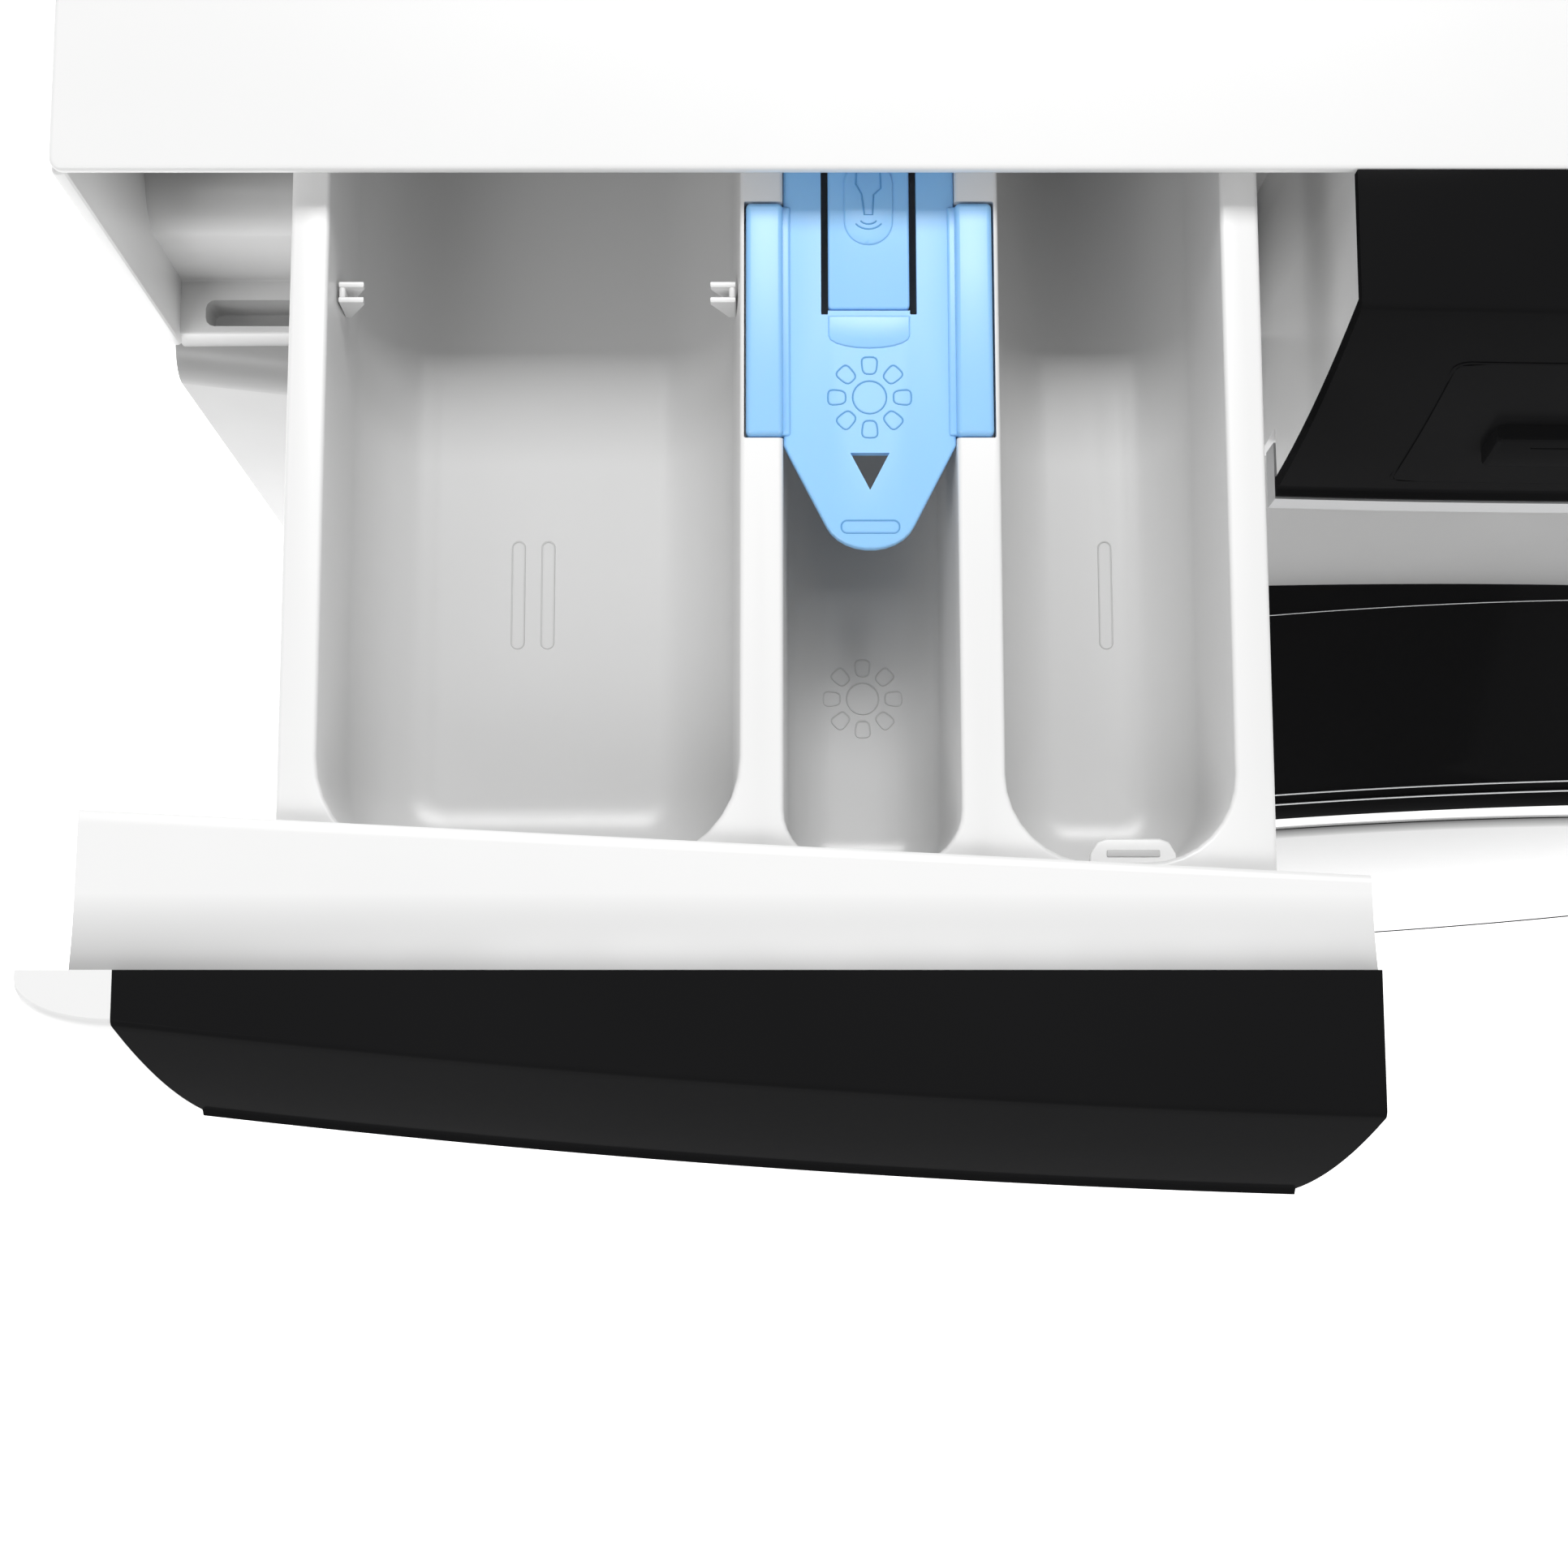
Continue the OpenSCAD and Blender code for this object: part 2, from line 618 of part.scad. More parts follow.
module front_panel() place(WHITE) difference() {
    union() {
        curved_sheet(kick_z + gap_panels, panel_top_z - panel_top_r);
        // Rolled top edge
        translate([0, bulge_axis_y, panel_top_z - panel_top_r]) intersection() {
            rotate_extrude($fn = 256) translate([panel_r - panel_top_r, 0]) polygon(concat(
                [for (a = [0:9:90]) panel_top_r * [cos(a), sin(a)]],
                [for (a = [90:-9:0]) (panel_top_r - front_t) * [cos(a), sin(a)]]));
            translate([-half_w, -bulge_axis_y - 60, -cut]) cube([machine_w, 90, 20]);
        }
        intersection() {
            on_axle() bar_y(opening_r + 2.5, -panel_f - 5, -6);
            box([-200, -60, axle_z - 200], [200, 0, axle_z + 200]);
            translate([0, bulge_axis_y, 0]) cylinder(r = panel_r, h = machine_h, $fn = 256);
        }
    }
    on_axle() bar_y(opening_r, -60, 0);
    hook_space(-60, 14);
}

module kick_panel() place(WHITE) difference() {
    curved_sheet(base_z, kick_z);
    flap_space(0, -60, 0);
}
// The flap's opening in the kick panel, made smaller by inset.
module flap_space(inset, y0, y1) {
    box([pump_x - flap_w / 2 + inset, y0, base_z + 8 + inset * 2],
        [pump_x + flap_w / 2 - inset, y1, base_z + 8 + flap_h - inset]);
}

module service_flap() place(WHITE) {
    difference() {
        intersection() {
            curved_sheet(base_z, kick_z);
            flap_space(flap_gap, -60, 0);
        }
        // Finger slot along the top
        box([pump_x - 15, -60, base_z + flap_h + 2], [pump_x + 15, 0, base_z + flap_h + 20]);
    }
    // Round bead along the bottom that the flap turns on
    flap_y = bulge_axis_y - sqrt(panel_r * panel_r - pump_x * pump_x) + front_t;
    translate([pump_x, flap_y, flap_z + flap_hinge])
        rotate([0, 0, asin(pump_x / panel_r)]) bar_x(1.4, 10 - flap_w / 2, flap_w / 2 - 10);
}

module drain_pump() place(GLOSS_BLACK) difference() {
    union() {
        translate([pump_x, 0, pump_z]) bar_y(pump_r, pump_y0, pump_y1);
        translate([pump_x, 0, pump_z]) bar_y(24, pump_y1 - cut, pump_y1 + 35);
        translate([0, 110, pump_z]) bar_x(sump_hose_r, pump_x - 52, pump_x);
        translate([pump_x, 120, pump_z]) cylinder(r = 10, h = 48);
    }
    translate([pump_x, 0, pump_z]) bar_y(pump_r - 4, pump_y0 - cut, pump_y1 - 30);
}

module filter_cap() place(PALE_BLUE) translate([pump_x, 0, pump_z]) {
    bar_y(pump_r - 5, pump_y0 - 4, pump_y0 + 12);
    bar_y(12, pump_y0 + 11, pump_y0 + 55);
    box([-20, pump_y0 - 12, -4], [20, pump_y0 - 3, 4]);
}

module drain_hose() place(RUBBER) {
    pump_out = [pump_x, 120, pump_z + 48];
    side = [half_w - 20, 330, 260];
    rising = [0, 80, 120];
    // The outlet is a pipe of its own, and the hose ends square in front of it
    pipe_y = cabinet_d - 30;
    out = [half_w - 45, pipe_y - 0.5, machine_h - 150];
    lower = hose_route(pump_out, [0, 0, 60], side, rising, 14);
    upper = hose_route(side, rising, out, [0, 70, 0], 16);
    sweep(concat(lower, [for (i = [1:len(upper) - 1]) upper[i]]), hose_r, 10, [1, 0, 0]);
    at_drain() difference() {
        bar_y(drain_r, pipe_y, cabinet_d + back_reach);
        bar_y(drain_r - 2.5, pipe_y + 10, cabinet_d + back_reach + cut);
    }
}

module mains_gland() place(GLOSS_BLACK) at_gland() difference() {
    union() {
        bar_y(12, cabinet_d - 14, cabinet_d + 12);
        bar_y(16, cabinet_d, cabinet_d + 5);
        bar_y(16, cabinet_d - 8, cabinet_d - sheet_t);
    }
    bar_y(gland_r, cabinet_d - 15, cabinet_d + 13);
}

module top_brace() place(STEEL) {
    box([-half_w + sheet_t, spring_y - 8, brace_z], [half_w - sheet_t, spring_y + 8, brace_z + 2]);
    box([-half_w + sheet_t, spring_y - 8, brace_z + 2], [half_w - sheet_t, spring_y - 6, skirt_z - 2]);
}

module damper_cylinders() place(PLASTIC_GREY) for (s = [-1, 1])
    translate([s * damper_x, damper_y, base_z + 2])
    difference() {
        cylinder(r = rod_r + 4.5, h = 95);
        translate([0, 0, 4]) cylinder(r = rod_r + 0.4, h = 100);
    }

// ---- Tub, hung on springs ----

module tub_shape(y0, y1) {
    difference() {
        union() {
            on_axle() bar_y(tub_r, y0, y1);
            on_axle() bar_y(tub_r + 10, max(y0, tub_split - 6), min(y1, tub_split + 6));
            children();
        }
        on_axle() bar_y(tub_r - tub_t, tub_y0 + tub_t, tub_y1 - tub_t);
    }
}

module outer_tub_front() place(LIGHT_GREY) difference() {
    tub_shape(tub_y0, tub_split) {
        on_axle() bar_y(opening_r + 16, tub_y0 - 12, tub_y0 + cut);
        translate([sump_x, sump_y, sump_z]) cylinder(r = 16, h = 30);
        translate([spout_x, spout_y, neck_z - 50]) cylinder(r = 16, h = 50);
        for (s = [-1, 1]) box([s * damper_x - 10, damper_y - 8, damper_lug_z],
            [s * damper_x + 10, damper_y + 8, damper_lug_z + 36]);
    }
    on_axle() bar_y(opening_r + 12, tub_y0 - 13, tub_y0 + tub_t + cut);
    translate([sump_x, sump_y, sump_z - cut]) cylinder(r = 12, h = 60);
    translate([spout_x, spout_y, neck_z - 80]) cylinder(r = 12, h = 81);
    heater_rods(heater_rod_r + 0.3);
}

module outer_tub_rear() place(LIGHT_GREY) difference() {
    tub_shape(tub_split, tub_y1) {
        on_axle() bar_y(hub_r, tub_y1 - cut, hub_y1);
        for (s = [-1, 1])
            box([s > 0 ? lug_root_x : -spring_x - 10, spring_y - 8, lug_z - 40],
                [s > 0 ? spring_x + 10 : -lug_root_x, spring_y + 8, lug_z]);
        box([motor_x - 25, motor_y0 + 10, motor_z + motor_r + 4],
            [motor_x + 25, motor_y1 - 10, motor_z + motor_r + 40]);
        for (a = [0:60:300])
            on_axle() rotate([0, a, 0]) box([-4, tub_y1 - cut, 30], [4, tub_y1 + 10, tub_r - 12]);
    }
    on_axle() bar_y(bearing_r + run, tub_y1 - tub_t - cut, hub_y1 + cut);
}

module drum_bearings() place(STEEL) on_axle()
    for (y = [tub_y1 - tub_t, hub_y1 - bearing_w]) difference() {
        bar_y(bearing_r, y, y + bearing_w);
        bar_y(axle_r + run, y - cut, y + bearing_w + cut);
    }

module front_counterweight() place(IRON) difference() {
    on_axle() bar_y(252, tub_y0 - 26, tub_y0);
    on_axle() bar_y(opening_r + 24, tub_y0 - 27, tub_y0 + cut);
    box([-45, 0, 0], [45, tub_y0 + cut, axle_z - 150]);
}

module top_counterweight() place(IRON) difference() {
    box([-115, 255, axle_z + 200], [115, 400, axle_z + 318]);
    on_axle() bar_y(tub_r + 0.02, 200, 450);
}

module heater_rods(r) {
    for (x = [-18, 18]) translate([x, 0, heater_z]) bar_y(r, tub_y0 - 6, 340);
}
module heater() place(STEEL) {
    heater_rods(heater_rod_r);
    translate([0, 336, heater_z]) bar_x(heater_rod_r, -18, 18);
    box([-30, tub_y0 - 8, heater_z - 14], [30, tub_y0, heater_z + 14]);
}

module drive_motor() place(STEEL) difference() {
    union() {
        translate([motor_x, 0, motor_z]) bar_y(motor_r, motor_y0, motor_y1);
        box([motor_x - 25, motor_y0 + 10, motor_z], [motor_x + 25, motor_y1 - 10, motor_z + motor_r + 4]);
    }
    translate([motor_x, 0, motor_z]) bar_y(6 + run, motor_y0 + 20, motor_y1 + cut);
}

module motor_pulley() place(STEEL) translate([motor_x, 0, motor_z]) {
    bar_y(6, motor_y0 + 24, pulley_y0 + pulley_w + 2);
    bar_y(motor_pulley_r, pulley_y0, pulley_y0 + pulley_w);
    bar_y(motor_pulley_r + 3, pulley_y0 + pulley_w, pulley_y0 + pulley_w + 1.5);
}

module drive_belt() place(GLOSS_BLACK)
    translate([0, pulley_y0 + 2, 0]) rotate([-90, 0, 0]) linear_extrude(pulley_w - 4) mirror([0, 1])
    difference() {
        belt_loop(belt_gap + belt_t);
        belt_loop(belt_gap);
    }
// Outline of the belt's path, that far outside both pulleys.
module belt_loop(out) hull() {
    translate([0, axle_z]) circle(r = pulley_r + out);
    translate([motor_x, motor_z]) circle(r = motor_pulley_r + out);
}

module damper_rods() place(STEEL) for (s = [-1, 1]) translate([s * damper_x, damper_y, base_z + 46])
    cylinder(r = rod_r, h = damper_lug_z - base_z - 46);

module suspension_springs() place(STEEL) for (s = [-1, 1]) translate([s * spring_x, spring_y, 0]) {
    rise = brace_z - lug_z - 2 * wire_r;
    n = spring_turns * 12;
    coil = [for (i = [0:n]) [spring_r * cos(30 * i), spring_r * sin(30 * i), lug_z + wire_r + rise * i / n]];
    sweep(coil, wire_r * 0.95, 6);
}

module door_gasket() place(RUBBER) on_axle() turned_y([
    [opening_r - 8, 22], [opening_r - 0.5, 22], [opening_r - 0.5, 4], [opening_r - 4, 4],
    [opening_r - 4, -28], [opening_r + 20, -50], [opening_r + 20, -gasket_y],
    [opening_r + 16.4, -gasket_y], [opening_r + 16.4, -54], [opening_r - 8, -32]]);

module tub_hoses() place(RUBBER) {
    sweep(hose_route([spout_x, spout_y, housing_z0 - 22], [0, 0, -50], [spout_x, spout_y, neck_z],
        [0, 0, -50], 14), spout_r, 12, [0, 1, 0]);
    sweep(hose_route([sump_x, sump_y, sump_z], [0, 0, -40], [pump_x - 52, 110, pump_z], [60, 0, 0], 14),
        sump_hose_r, 12, [0, 1, 0]);
}

// ---- Drum ----

module drum_shell() place(STEEL) difference() {
    on_axle() bar_y(drum_r, drum_y0, drum_y1);
    on_axle() bar_y(drum_r - drum_t, drum_y0 + drum_t, drum_y1 - drum_t);
    on_axle() bar_y(opening_r, drum_y0 - cut, drum_y0 + 10);
}

module drum_lifters() place(LIGHT_GREY) on_axle() for (a = [0:120:240]) rotate([0, a, 0]) intersection() {
    translate([0, drum_y0 + 20, 0]) rotate([-90, 0, 0]) linear_extrude(drum_len - 40)
        polygon([[-24, drum_r], [24, drum_r], [10, drum_r - 58], [-10, drum_r - 58]]);
    bar_y(drum_r - drum_t - 0.02, drum_y0, drum_y1);
}

module drum_spider() place(STEEL) on_axle() difference() {
    union() {
        bar_y(38, drum_y1, drum_y1 + spider_t);
        for (a = [60:120:300]) rotate([0, a, 0]) box([-15, drum_y1, 0], [15, drum_y1 + 16, drum_r - 8]);
    }
    bar_y(axle_r + 0.02, drum_y1 - cut, drum_y1 + spider_t + cut);
}

module drum_shaft() place(STEEL) on_axle() bar_y(axle_r, drum_y1 + 1, shaft_y1);

module drum_pulley() place(LIGHT_GREY) on_axle() difference() {
    bar_y(pulley_r, pulley_y0, pulley_y0 + pulley_w);
    difference() {
        bar_y(pulley_r - 8, pulley_y0 - cut, pulley_y0 + pulley_w + cut);
        bar_y(26, pulley_y0, pulley_y0 + pulley_w);
        for (a = [0:60:300])
            rotate([0, a, 0]) box([-8, pulley_y0 + 4, 20], [8, pulley_y0 + 12, pulley_r - 4]);
    }
    bar_y(axle_r + 0.02, pulley_y0 - cut, pulley_y0 + pulley_w + cut);
}

// ---- Door ----

// Turns the door's front slightly about its own middle, seen from above.
module raked() on_axle() rotate([0, 0, door_rake]) children();

// Slots in the door's edge for the hinge leaf, the bracket's arms and the handle.
module door_slots() {
    z = leaf_h / 2;
    box([-door_r - 20, -hinge_f - 4.3, axle_z - z - 0.3], [-190, -hinge_f + 4.3, axle_z + z + 0.3]);
    for (z0 = [-z - gap - arm_h - 1.5, z + gap - 1.5])
        box([-door_r - 20, -hinge_f - knuckle_r - 1.5, axle_z + z0],
            [hinge_x + knuckle_r + 1.5, 0, axle_z + z0 + arm_h + 3]);
    box([handle_x - 6, -handle_f - 24, axle_z - handle_h / 2 - 1],
        [door_r + 20, -handle_f + 14, axle_z + handle_h / 2 + 1]);
}

module door_ring() place(GLOSS_BLACK) difference() {
    raked() turned_y([
        [door_r_at(0), 0], [door_rim_r + 1, door_f - 3], [door_rim_r - 3, door_f - 0.5],
        [door_rim_r - 12, door_f],
        [cover_r + 0.2, door_f - 1], [cover_r + 0.2, door_f - 14], [cover_r + door_wall, door_f - 14],
        [cover_r + door_wall, door_f - 1 - door_wall], [door_rim_r - 12, door_f - door_wall],
        [door_rim_r - 4, door_f - door_wall - 2], [door_r_at(0) - door_wall, 0]]);
    translate([0, bulge_axis_y, 0]) cylinder(r = panel_r + 1.8, h = machine_h, $fn = 256);
    door_slots();
}

module door_cover() place(GLOSS_BLACK) raked() turned_y([
    [0, door_f + 8], [60, door_f + 7], [120, door_f + 3.5], [cover_r, door_f - 0.5], [cover_r, door_f - 14],
    [cover_r - door_wall, door_f - 14], [cover_r - door_wall, door_f - 4], [118, door_f + 0.5],
    [60, door_f + 4], [0, door_f + 5]]);

module door_inner_frame() place(LIGHT_GREY) difference() {
    on_axle() turned_y([[glass_hole_r, inner_f0], [door_r_at(inner_f0) - 10, inner_f0],
        [door_r_at(inner_f1) - 10, inner_f1], [glass_hole_r, inner_f1]]);
    hook_space(-60, 0);
}

module door_glass() place([0.7, 0.8, 0.85, 0.4]) on_axle() {
    r = glass_hole_r;
    turned_y([[0, -glass_depth], [r - 54, -glass_depth], [r - 42, -glass_depth + 3],
        [r - 34, -glass_depth + 15],
        [r - 10, 10], [r - 4, inner_f1], [r + 14, inner_f1], [r + 14, inner_f1 + 4], [r - 8, inner_f1 + 4],
        [r - 14, 10], [r - 38, -glass_depth + 16], [r - 46, -glass_depth + 6.5], [r - 56, -glass_depth + 4],
        [0, -glass_depth + 4]]);
}

module door_trim_rings() place(LIGHT_GREY) difference() {
    raked() for (f = [door_f - 8, door_f - 5, 30]) turned_y([
        [door_outer_at(f) + 0.05, f], [door_outer_at(f) + 0.9, f], [door_outer_at(f + 1.4) + 0.9, f + 1.4],
        [door_outer_at(f + 1.4) + 0.05, f + 1.4]]);
    door_slots();
}
// Radius of the ring's outer wall at a distance forward f.
function door_outer_at(f) = door_r_at(0) + (door_rim_r + 1 - door_r_at(0)) * f / (door_f - 3);

module hinge_leaf() place(STEEL) {
    z0 = axle_z - leaf_h / 2;
    translate([hinge_x, -hinge_f, z0]) cylinder(r = knuckle_r, h = leaf_h);
    translate([hinge_x, -hinge_f, z0 - arm_h - 2]) cylinder(r = hinge_pin_r, h = leaf_h + 2 * arm_h + 4);
    box([hinge_x, -hinge_f - 4, z0], [-door_r + 36, -hinge_f + 4, z0 + leaf_h]);
}

// Pull lever in the door's edge, with the latch hook behind it.
module door_handle() place(GLOSS_BLACK) {
    translate([handle_x, -handle_f, axle_z - handle_h / 2]) cylinder(r = 5, h = handle_h);
    box([handle_x, -handle_f - 3, axle_z - handle_h / 2],
        [handle_x + 16, -handle_f + 3, axle_z + handle_h / 2]);
    box([lock_x - 3, -handle_f + 2, axle_z - 8], [lock_x + 3, 4, axle_z + 8]);
    box([lock_x - 3, -handle_f - 3, axle_z - 8], [handle_x, -handle_f + 3, axle_z + 8]);
}

// ---- Drawer, laid out shut and drawn open ----

module well(x0, x1, r) {
    rounded_plate([x0, well_y0, tray_z0 + tray_floor], [x1, well_y1, tray_z1 + cut], r);
}

module drawer_tray() place_drawer(WHITE) difference() {
    box([tray_x0, tray_y0, tray_z0], [tray_x1, tray_y0 + tray_len, tray_z1]);
    well(main_x0, main_x1, 18);
    well(softener_x0, softener_x1, 9);
    well(prewash_x0, prewash_x1, 15);
    // Seats for the insert's wings
    for (x = [softener_x0 - wing_w - snug, softener_x1 - snug])
        box([x, wing_y0 - snug, tray_z1 - wing_h], [x + wing_w + 2 * snug, wing_y1 + snug, tray_z1 + cut]);
    // Water leaves at the back
    for (x = [main_x0 + 12, prewash_x0 + 4]) box([x, well_y1 - cut, tray_z0 + tray_floor],
        [x + 28, well_y1 + 20, tray_z0 + tray_floor + 9]);
}

module drawer_front() place_drawer(WHITE) {
    x1 = drawer_x1 - 0.7;
    xr = fascia_x0 + snug;
    difference() {
        front_solid(fascia_t + snug, 2.6, fascia_h, xr, x1, -gap);
        front_solid(fascia_t + 2.6, 5.2, fascia_h + cut, xr - cut, x1 + cut, cut);
    }
    // Cap that closes under the worktop's lip
    translate([0, 0, machine_h - 5.2]) linear_extrude(2.4) polygon([
        [drawer_x0 + 8.3, -gap], [x1, -gap], [x1, 15.6], [drawer_x0 + 8.3, 26.7]]);
    // Web that carries the tray
    box([tray_x0, tray_y0 - 3, tray_z0], [tray_x1, tray_y0, machine_h - 5.2]);
    for (x = [tray_x0, tray_x1 - 3]) difference() {
        box([x, -30, tray_z0], [x + 3, tray_y0 - 3, machine_h - 5.2]);
        translate([0, bulge_axis_y, 0]) difference() {
            cylinder(r = bulge_r + 100, h = machine_h, $fn = 256);
            translate([0, 0, -cut]) cylinder(r = bulge_r - fascia_t - 3, h = machine_h + 2 * cut, $fn = 256);
        }
    }
    end_block(-1, -gap);
}

module drawer_fascia() place_drawer(GLOSS_BLACK) fascia(fascia_x0, drawer_x1 - gap, -gap, fascia_lip);

module siphon_insert() place_drawer(PALE_BLUE) {
    z0 = insert_z1 - insert_t;
    x0 = softener_x0 + snug;
    x1 = softener_x1 - snug;
    tip_y = drawer_travel - 64.4;
    body_y = drawer_travel - 46;
    half_t = tongue_w / 2 + tongue_slot;
    translate([0, 0, z0]) linear_extrude(insert_t) difference() {
        polygon([[x0, insert_y1], [x0, body_y],
            [softener_x - 8, tip_y + 6], [softener_x - 5.5, tip_y + 1.6],
            [softener_x - 2.5, tip_y], [softener_x + 2.5, tip_y], [softener_x + 5.5, tip_y + 1.6],
            [softener_x + 8, tip_y + 6], [x1, body_y], [x1, insert_y1]]);
        translate([softener_x, tip_y + 15]) polygon([[-3.4, 2], [3.4, 2], [0, -4.6]]);
        translate([softener_x - half_t, tongue_y0])
            square([2 * half_t, tongue_y1 - tongue_y0 + tongue_slot]);
    }
    for (s = [-1, 1]) {
        x = s > 0 ? softener_x1 : softener_x0 - wing_w;
        box([x, wing_y0, tray_z1 - wing_h + snug], [x + wing_w, wing_y1, tray_z1 + 0.6]);
        box([s > 0 ? x1 - 1.8 : x0 - snug, wing_y0, z0],
            [s > 0 ? x + snug : x0 + 1.8, wing_y1, tray_z1 - snug]);
    }
    // Siphon cap over the standpipe
    translate([softener_x, insert_y1 - 18, z0 - 18]) difference() {
        cylinder(r = 9, h = 18);
        translate([0, 0, -cut]) cylinder(r = 7, h = 17);
    }
}

module release_tongue() place_drawer(PALE_BLUE) {
    z0 = insert_z1 - insert_t;
    bead_r = insert_t / 2;
    box([softener_x - tongue_w / 2, tongue_bead_y, z0], [softener_x + tongue_w / 2, tongue_y1, insert_z1]);
    // Round front edge that the tongue bends about
    translate([0, tongue_bead_y, z0 + bead_r])
        bar_x(bead_r, softener_x - tongue_w / 2, softener_x + tongue_w / 2);
    box([softener_x - tongue_w / 2, tongue_y1 - 6, z0 - 6], [softener_x + tongue_w / 2, tongue_y1, z0]);
}

base_tray();
side_panel_left();
side_panel_right();
back_panel();
worktop();
surround_frame();
control_panel();
panel_inlay();
panel_trim();
control_board();
dispenser_housing();
inlet_valve();
fill_hose();
door_lock();
hinge_bracket();
front_panel();
kick_panel();
drain_pump();
drain_hose();
mains_gland();
damper_cylinders();
levelling_feet();
top_brace();
outer_tub_rear();
outer_tub_front();
front_counterweight();
top_counterweight();
heater();
drive_motor();
drum_bearings();
damper_rods();
suspension_springs();
door_gasket();
tub_hoses();
drive_belt();
drum_shell();
drum_lifters();
drum_spider();
drum_shaft();
drum_pulley();
motor_pulley();
door_ring();
door_cover();
door_inner_frame();
door_glass();
door_trim_rings();
hinge_leaf();
door_handle();
drawer_tray();
drawer_front();
drawer_fascia();
siphon_insert();
release_tongue();
programme_knob();
start_button();
push_key_1();
push_key_2();
push_key_3();
service_flap();
filter_cap();
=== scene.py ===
"""Front load washing machine with its detergent drawer open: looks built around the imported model."""

import json
import math

import bmesh
import bpy
import numpy as np
from bpy.props import FloatProperty, FloatVectorProperty, IntProperty, PointerProperty
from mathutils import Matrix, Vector

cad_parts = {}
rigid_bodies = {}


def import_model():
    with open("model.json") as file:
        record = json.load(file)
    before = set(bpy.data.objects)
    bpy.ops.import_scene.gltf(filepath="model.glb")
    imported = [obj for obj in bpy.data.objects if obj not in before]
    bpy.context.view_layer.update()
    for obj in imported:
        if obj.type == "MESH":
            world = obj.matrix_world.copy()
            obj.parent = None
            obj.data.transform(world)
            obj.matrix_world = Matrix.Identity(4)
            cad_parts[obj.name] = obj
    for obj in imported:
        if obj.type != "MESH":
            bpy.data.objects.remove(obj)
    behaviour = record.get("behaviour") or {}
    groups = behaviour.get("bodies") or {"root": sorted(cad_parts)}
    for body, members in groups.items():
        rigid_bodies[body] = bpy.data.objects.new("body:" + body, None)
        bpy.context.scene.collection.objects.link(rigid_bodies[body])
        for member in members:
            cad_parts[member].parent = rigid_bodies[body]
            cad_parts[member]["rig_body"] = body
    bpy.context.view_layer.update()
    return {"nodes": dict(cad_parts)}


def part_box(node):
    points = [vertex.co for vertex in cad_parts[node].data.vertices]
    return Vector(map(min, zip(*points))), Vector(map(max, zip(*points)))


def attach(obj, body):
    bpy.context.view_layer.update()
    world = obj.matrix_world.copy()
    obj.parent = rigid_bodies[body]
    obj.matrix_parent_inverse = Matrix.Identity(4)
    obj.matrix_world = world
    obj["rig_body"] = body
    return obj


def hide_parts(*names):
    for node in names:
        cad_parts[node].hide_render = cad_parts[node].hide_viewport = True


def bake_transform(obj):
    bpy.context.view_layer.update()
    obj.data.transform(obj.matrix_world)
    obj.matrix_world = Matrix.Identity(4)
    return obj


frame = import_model()

bl_info = {
    "name": "Front load washing machine",
    "version": (1, 0, 0),
    "blender": (4, 5, 0),
    "location": "View3D > Sidebar > Washer",
    "description": "Builds the surfaces and finishes of a front load washing machine",
    "category": "Object",
}

MM = 0.001
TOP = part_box("worktop")[1].z / MM  # height of the worktop
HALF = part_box("worktop")[1].x / MM  # half the machine's width
EDGE_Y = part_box("worktop")[0].y / MM  # the worktop's front edge
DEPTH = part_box("worktop")[1].y / MM - EDGE_Y
TRAY_LOW, TRAY_HIGH = (np.array(c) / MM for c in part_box("drawer_tray"))
TRAY_Y = 11.0  # the tray's front behind the worktop's edge when the drawer is shut
TRAVEL = TRAY_Y + EDGE_Y - TRAY_LOW[1]
AXLE_Z = float(sum(c.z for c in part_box("drum_shaft"))) / 2 / MM
END_X = HALF - 16.1  # where the black fascias meet the white ends
DRAWER_X = float(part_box("drawer_fascia")[1].x / MM)
PANEL_X0, PANEL_X1 = (c.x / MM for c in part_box("control_panel"))
LIP_Z = TOP - 2.3  # underside of the worktop's edge
SKIRT_Z = TOP - 19.0  # underside of the worktop's skirt, where the sheets end
LEDGE_Z = TOP - 105.0  # level of the surround's ledge
BAY_Y = 33.0  # back of the surround's frame
SHEET_LOW = 14.0  # lower edge of the sheets and of the kick panel
FASCIA_H = 84.6  # height of the black fascias
INLAY_D0, INLAY_D1 = 18.4, 75.4  # the inlay's upper and lower edge, below the worktop
OPENING_R = 158.0  # radius of the loading opening
CATCH_X0, CATCH_X1, CATCH_H = 185.0, 207.0, 15.0  # hole for the door's catch, and half its height


# ---- Sizes and colours that a user may change ----


def colour_choice(name, description, default):
    """A colour that a user may change, as red, green and blue."""
    return FloatVectorProperty(
        name=name, description=description, default=default, size=3, min=0, max=1, subtype="COLOR"
    )


class WasherShape(bpy.types.PropertyGroup):
    """Sizes of the machine's curved front and of its rounded edges, in millimetres."""

    bulge_radius: FloatProperty(
        name="Bulge radius", description="Radius of the front seen from above", default=2516.0, min=2400,
        max=3500,
    )
    ridge: FloatProperty(
        name="Ridge", description="How far the top ridge stands forward at the middle", default=25.6, min=20,
        max=32,
    )
    panel: FloatProperty(
        name="Lower panel", description="How far the lower panel stands forward", default=21.9, min=18, max=24
    )
    lean: FloatProperty(
        name="Lean", description="Forward lean of the front at its top", default=0.2189, min=0.1, max=0.25,
        subtype="FACTOR",
    )
    lean_fade: FloatProperty(
        name="Lean fade", description="How fast the lean fades downwards", default=0.000955, min=0, max=0.001
    )
    edge: FloatProperty(
        name="Edge rounding", description="Rounding of the moulded edges", default=0.8, min=0.3, max=1.5
    )
    hole_rows: IntProperty(
        name="Drum rows", description="Rows of holes along the drum", default=16, min=8, max=24
    )


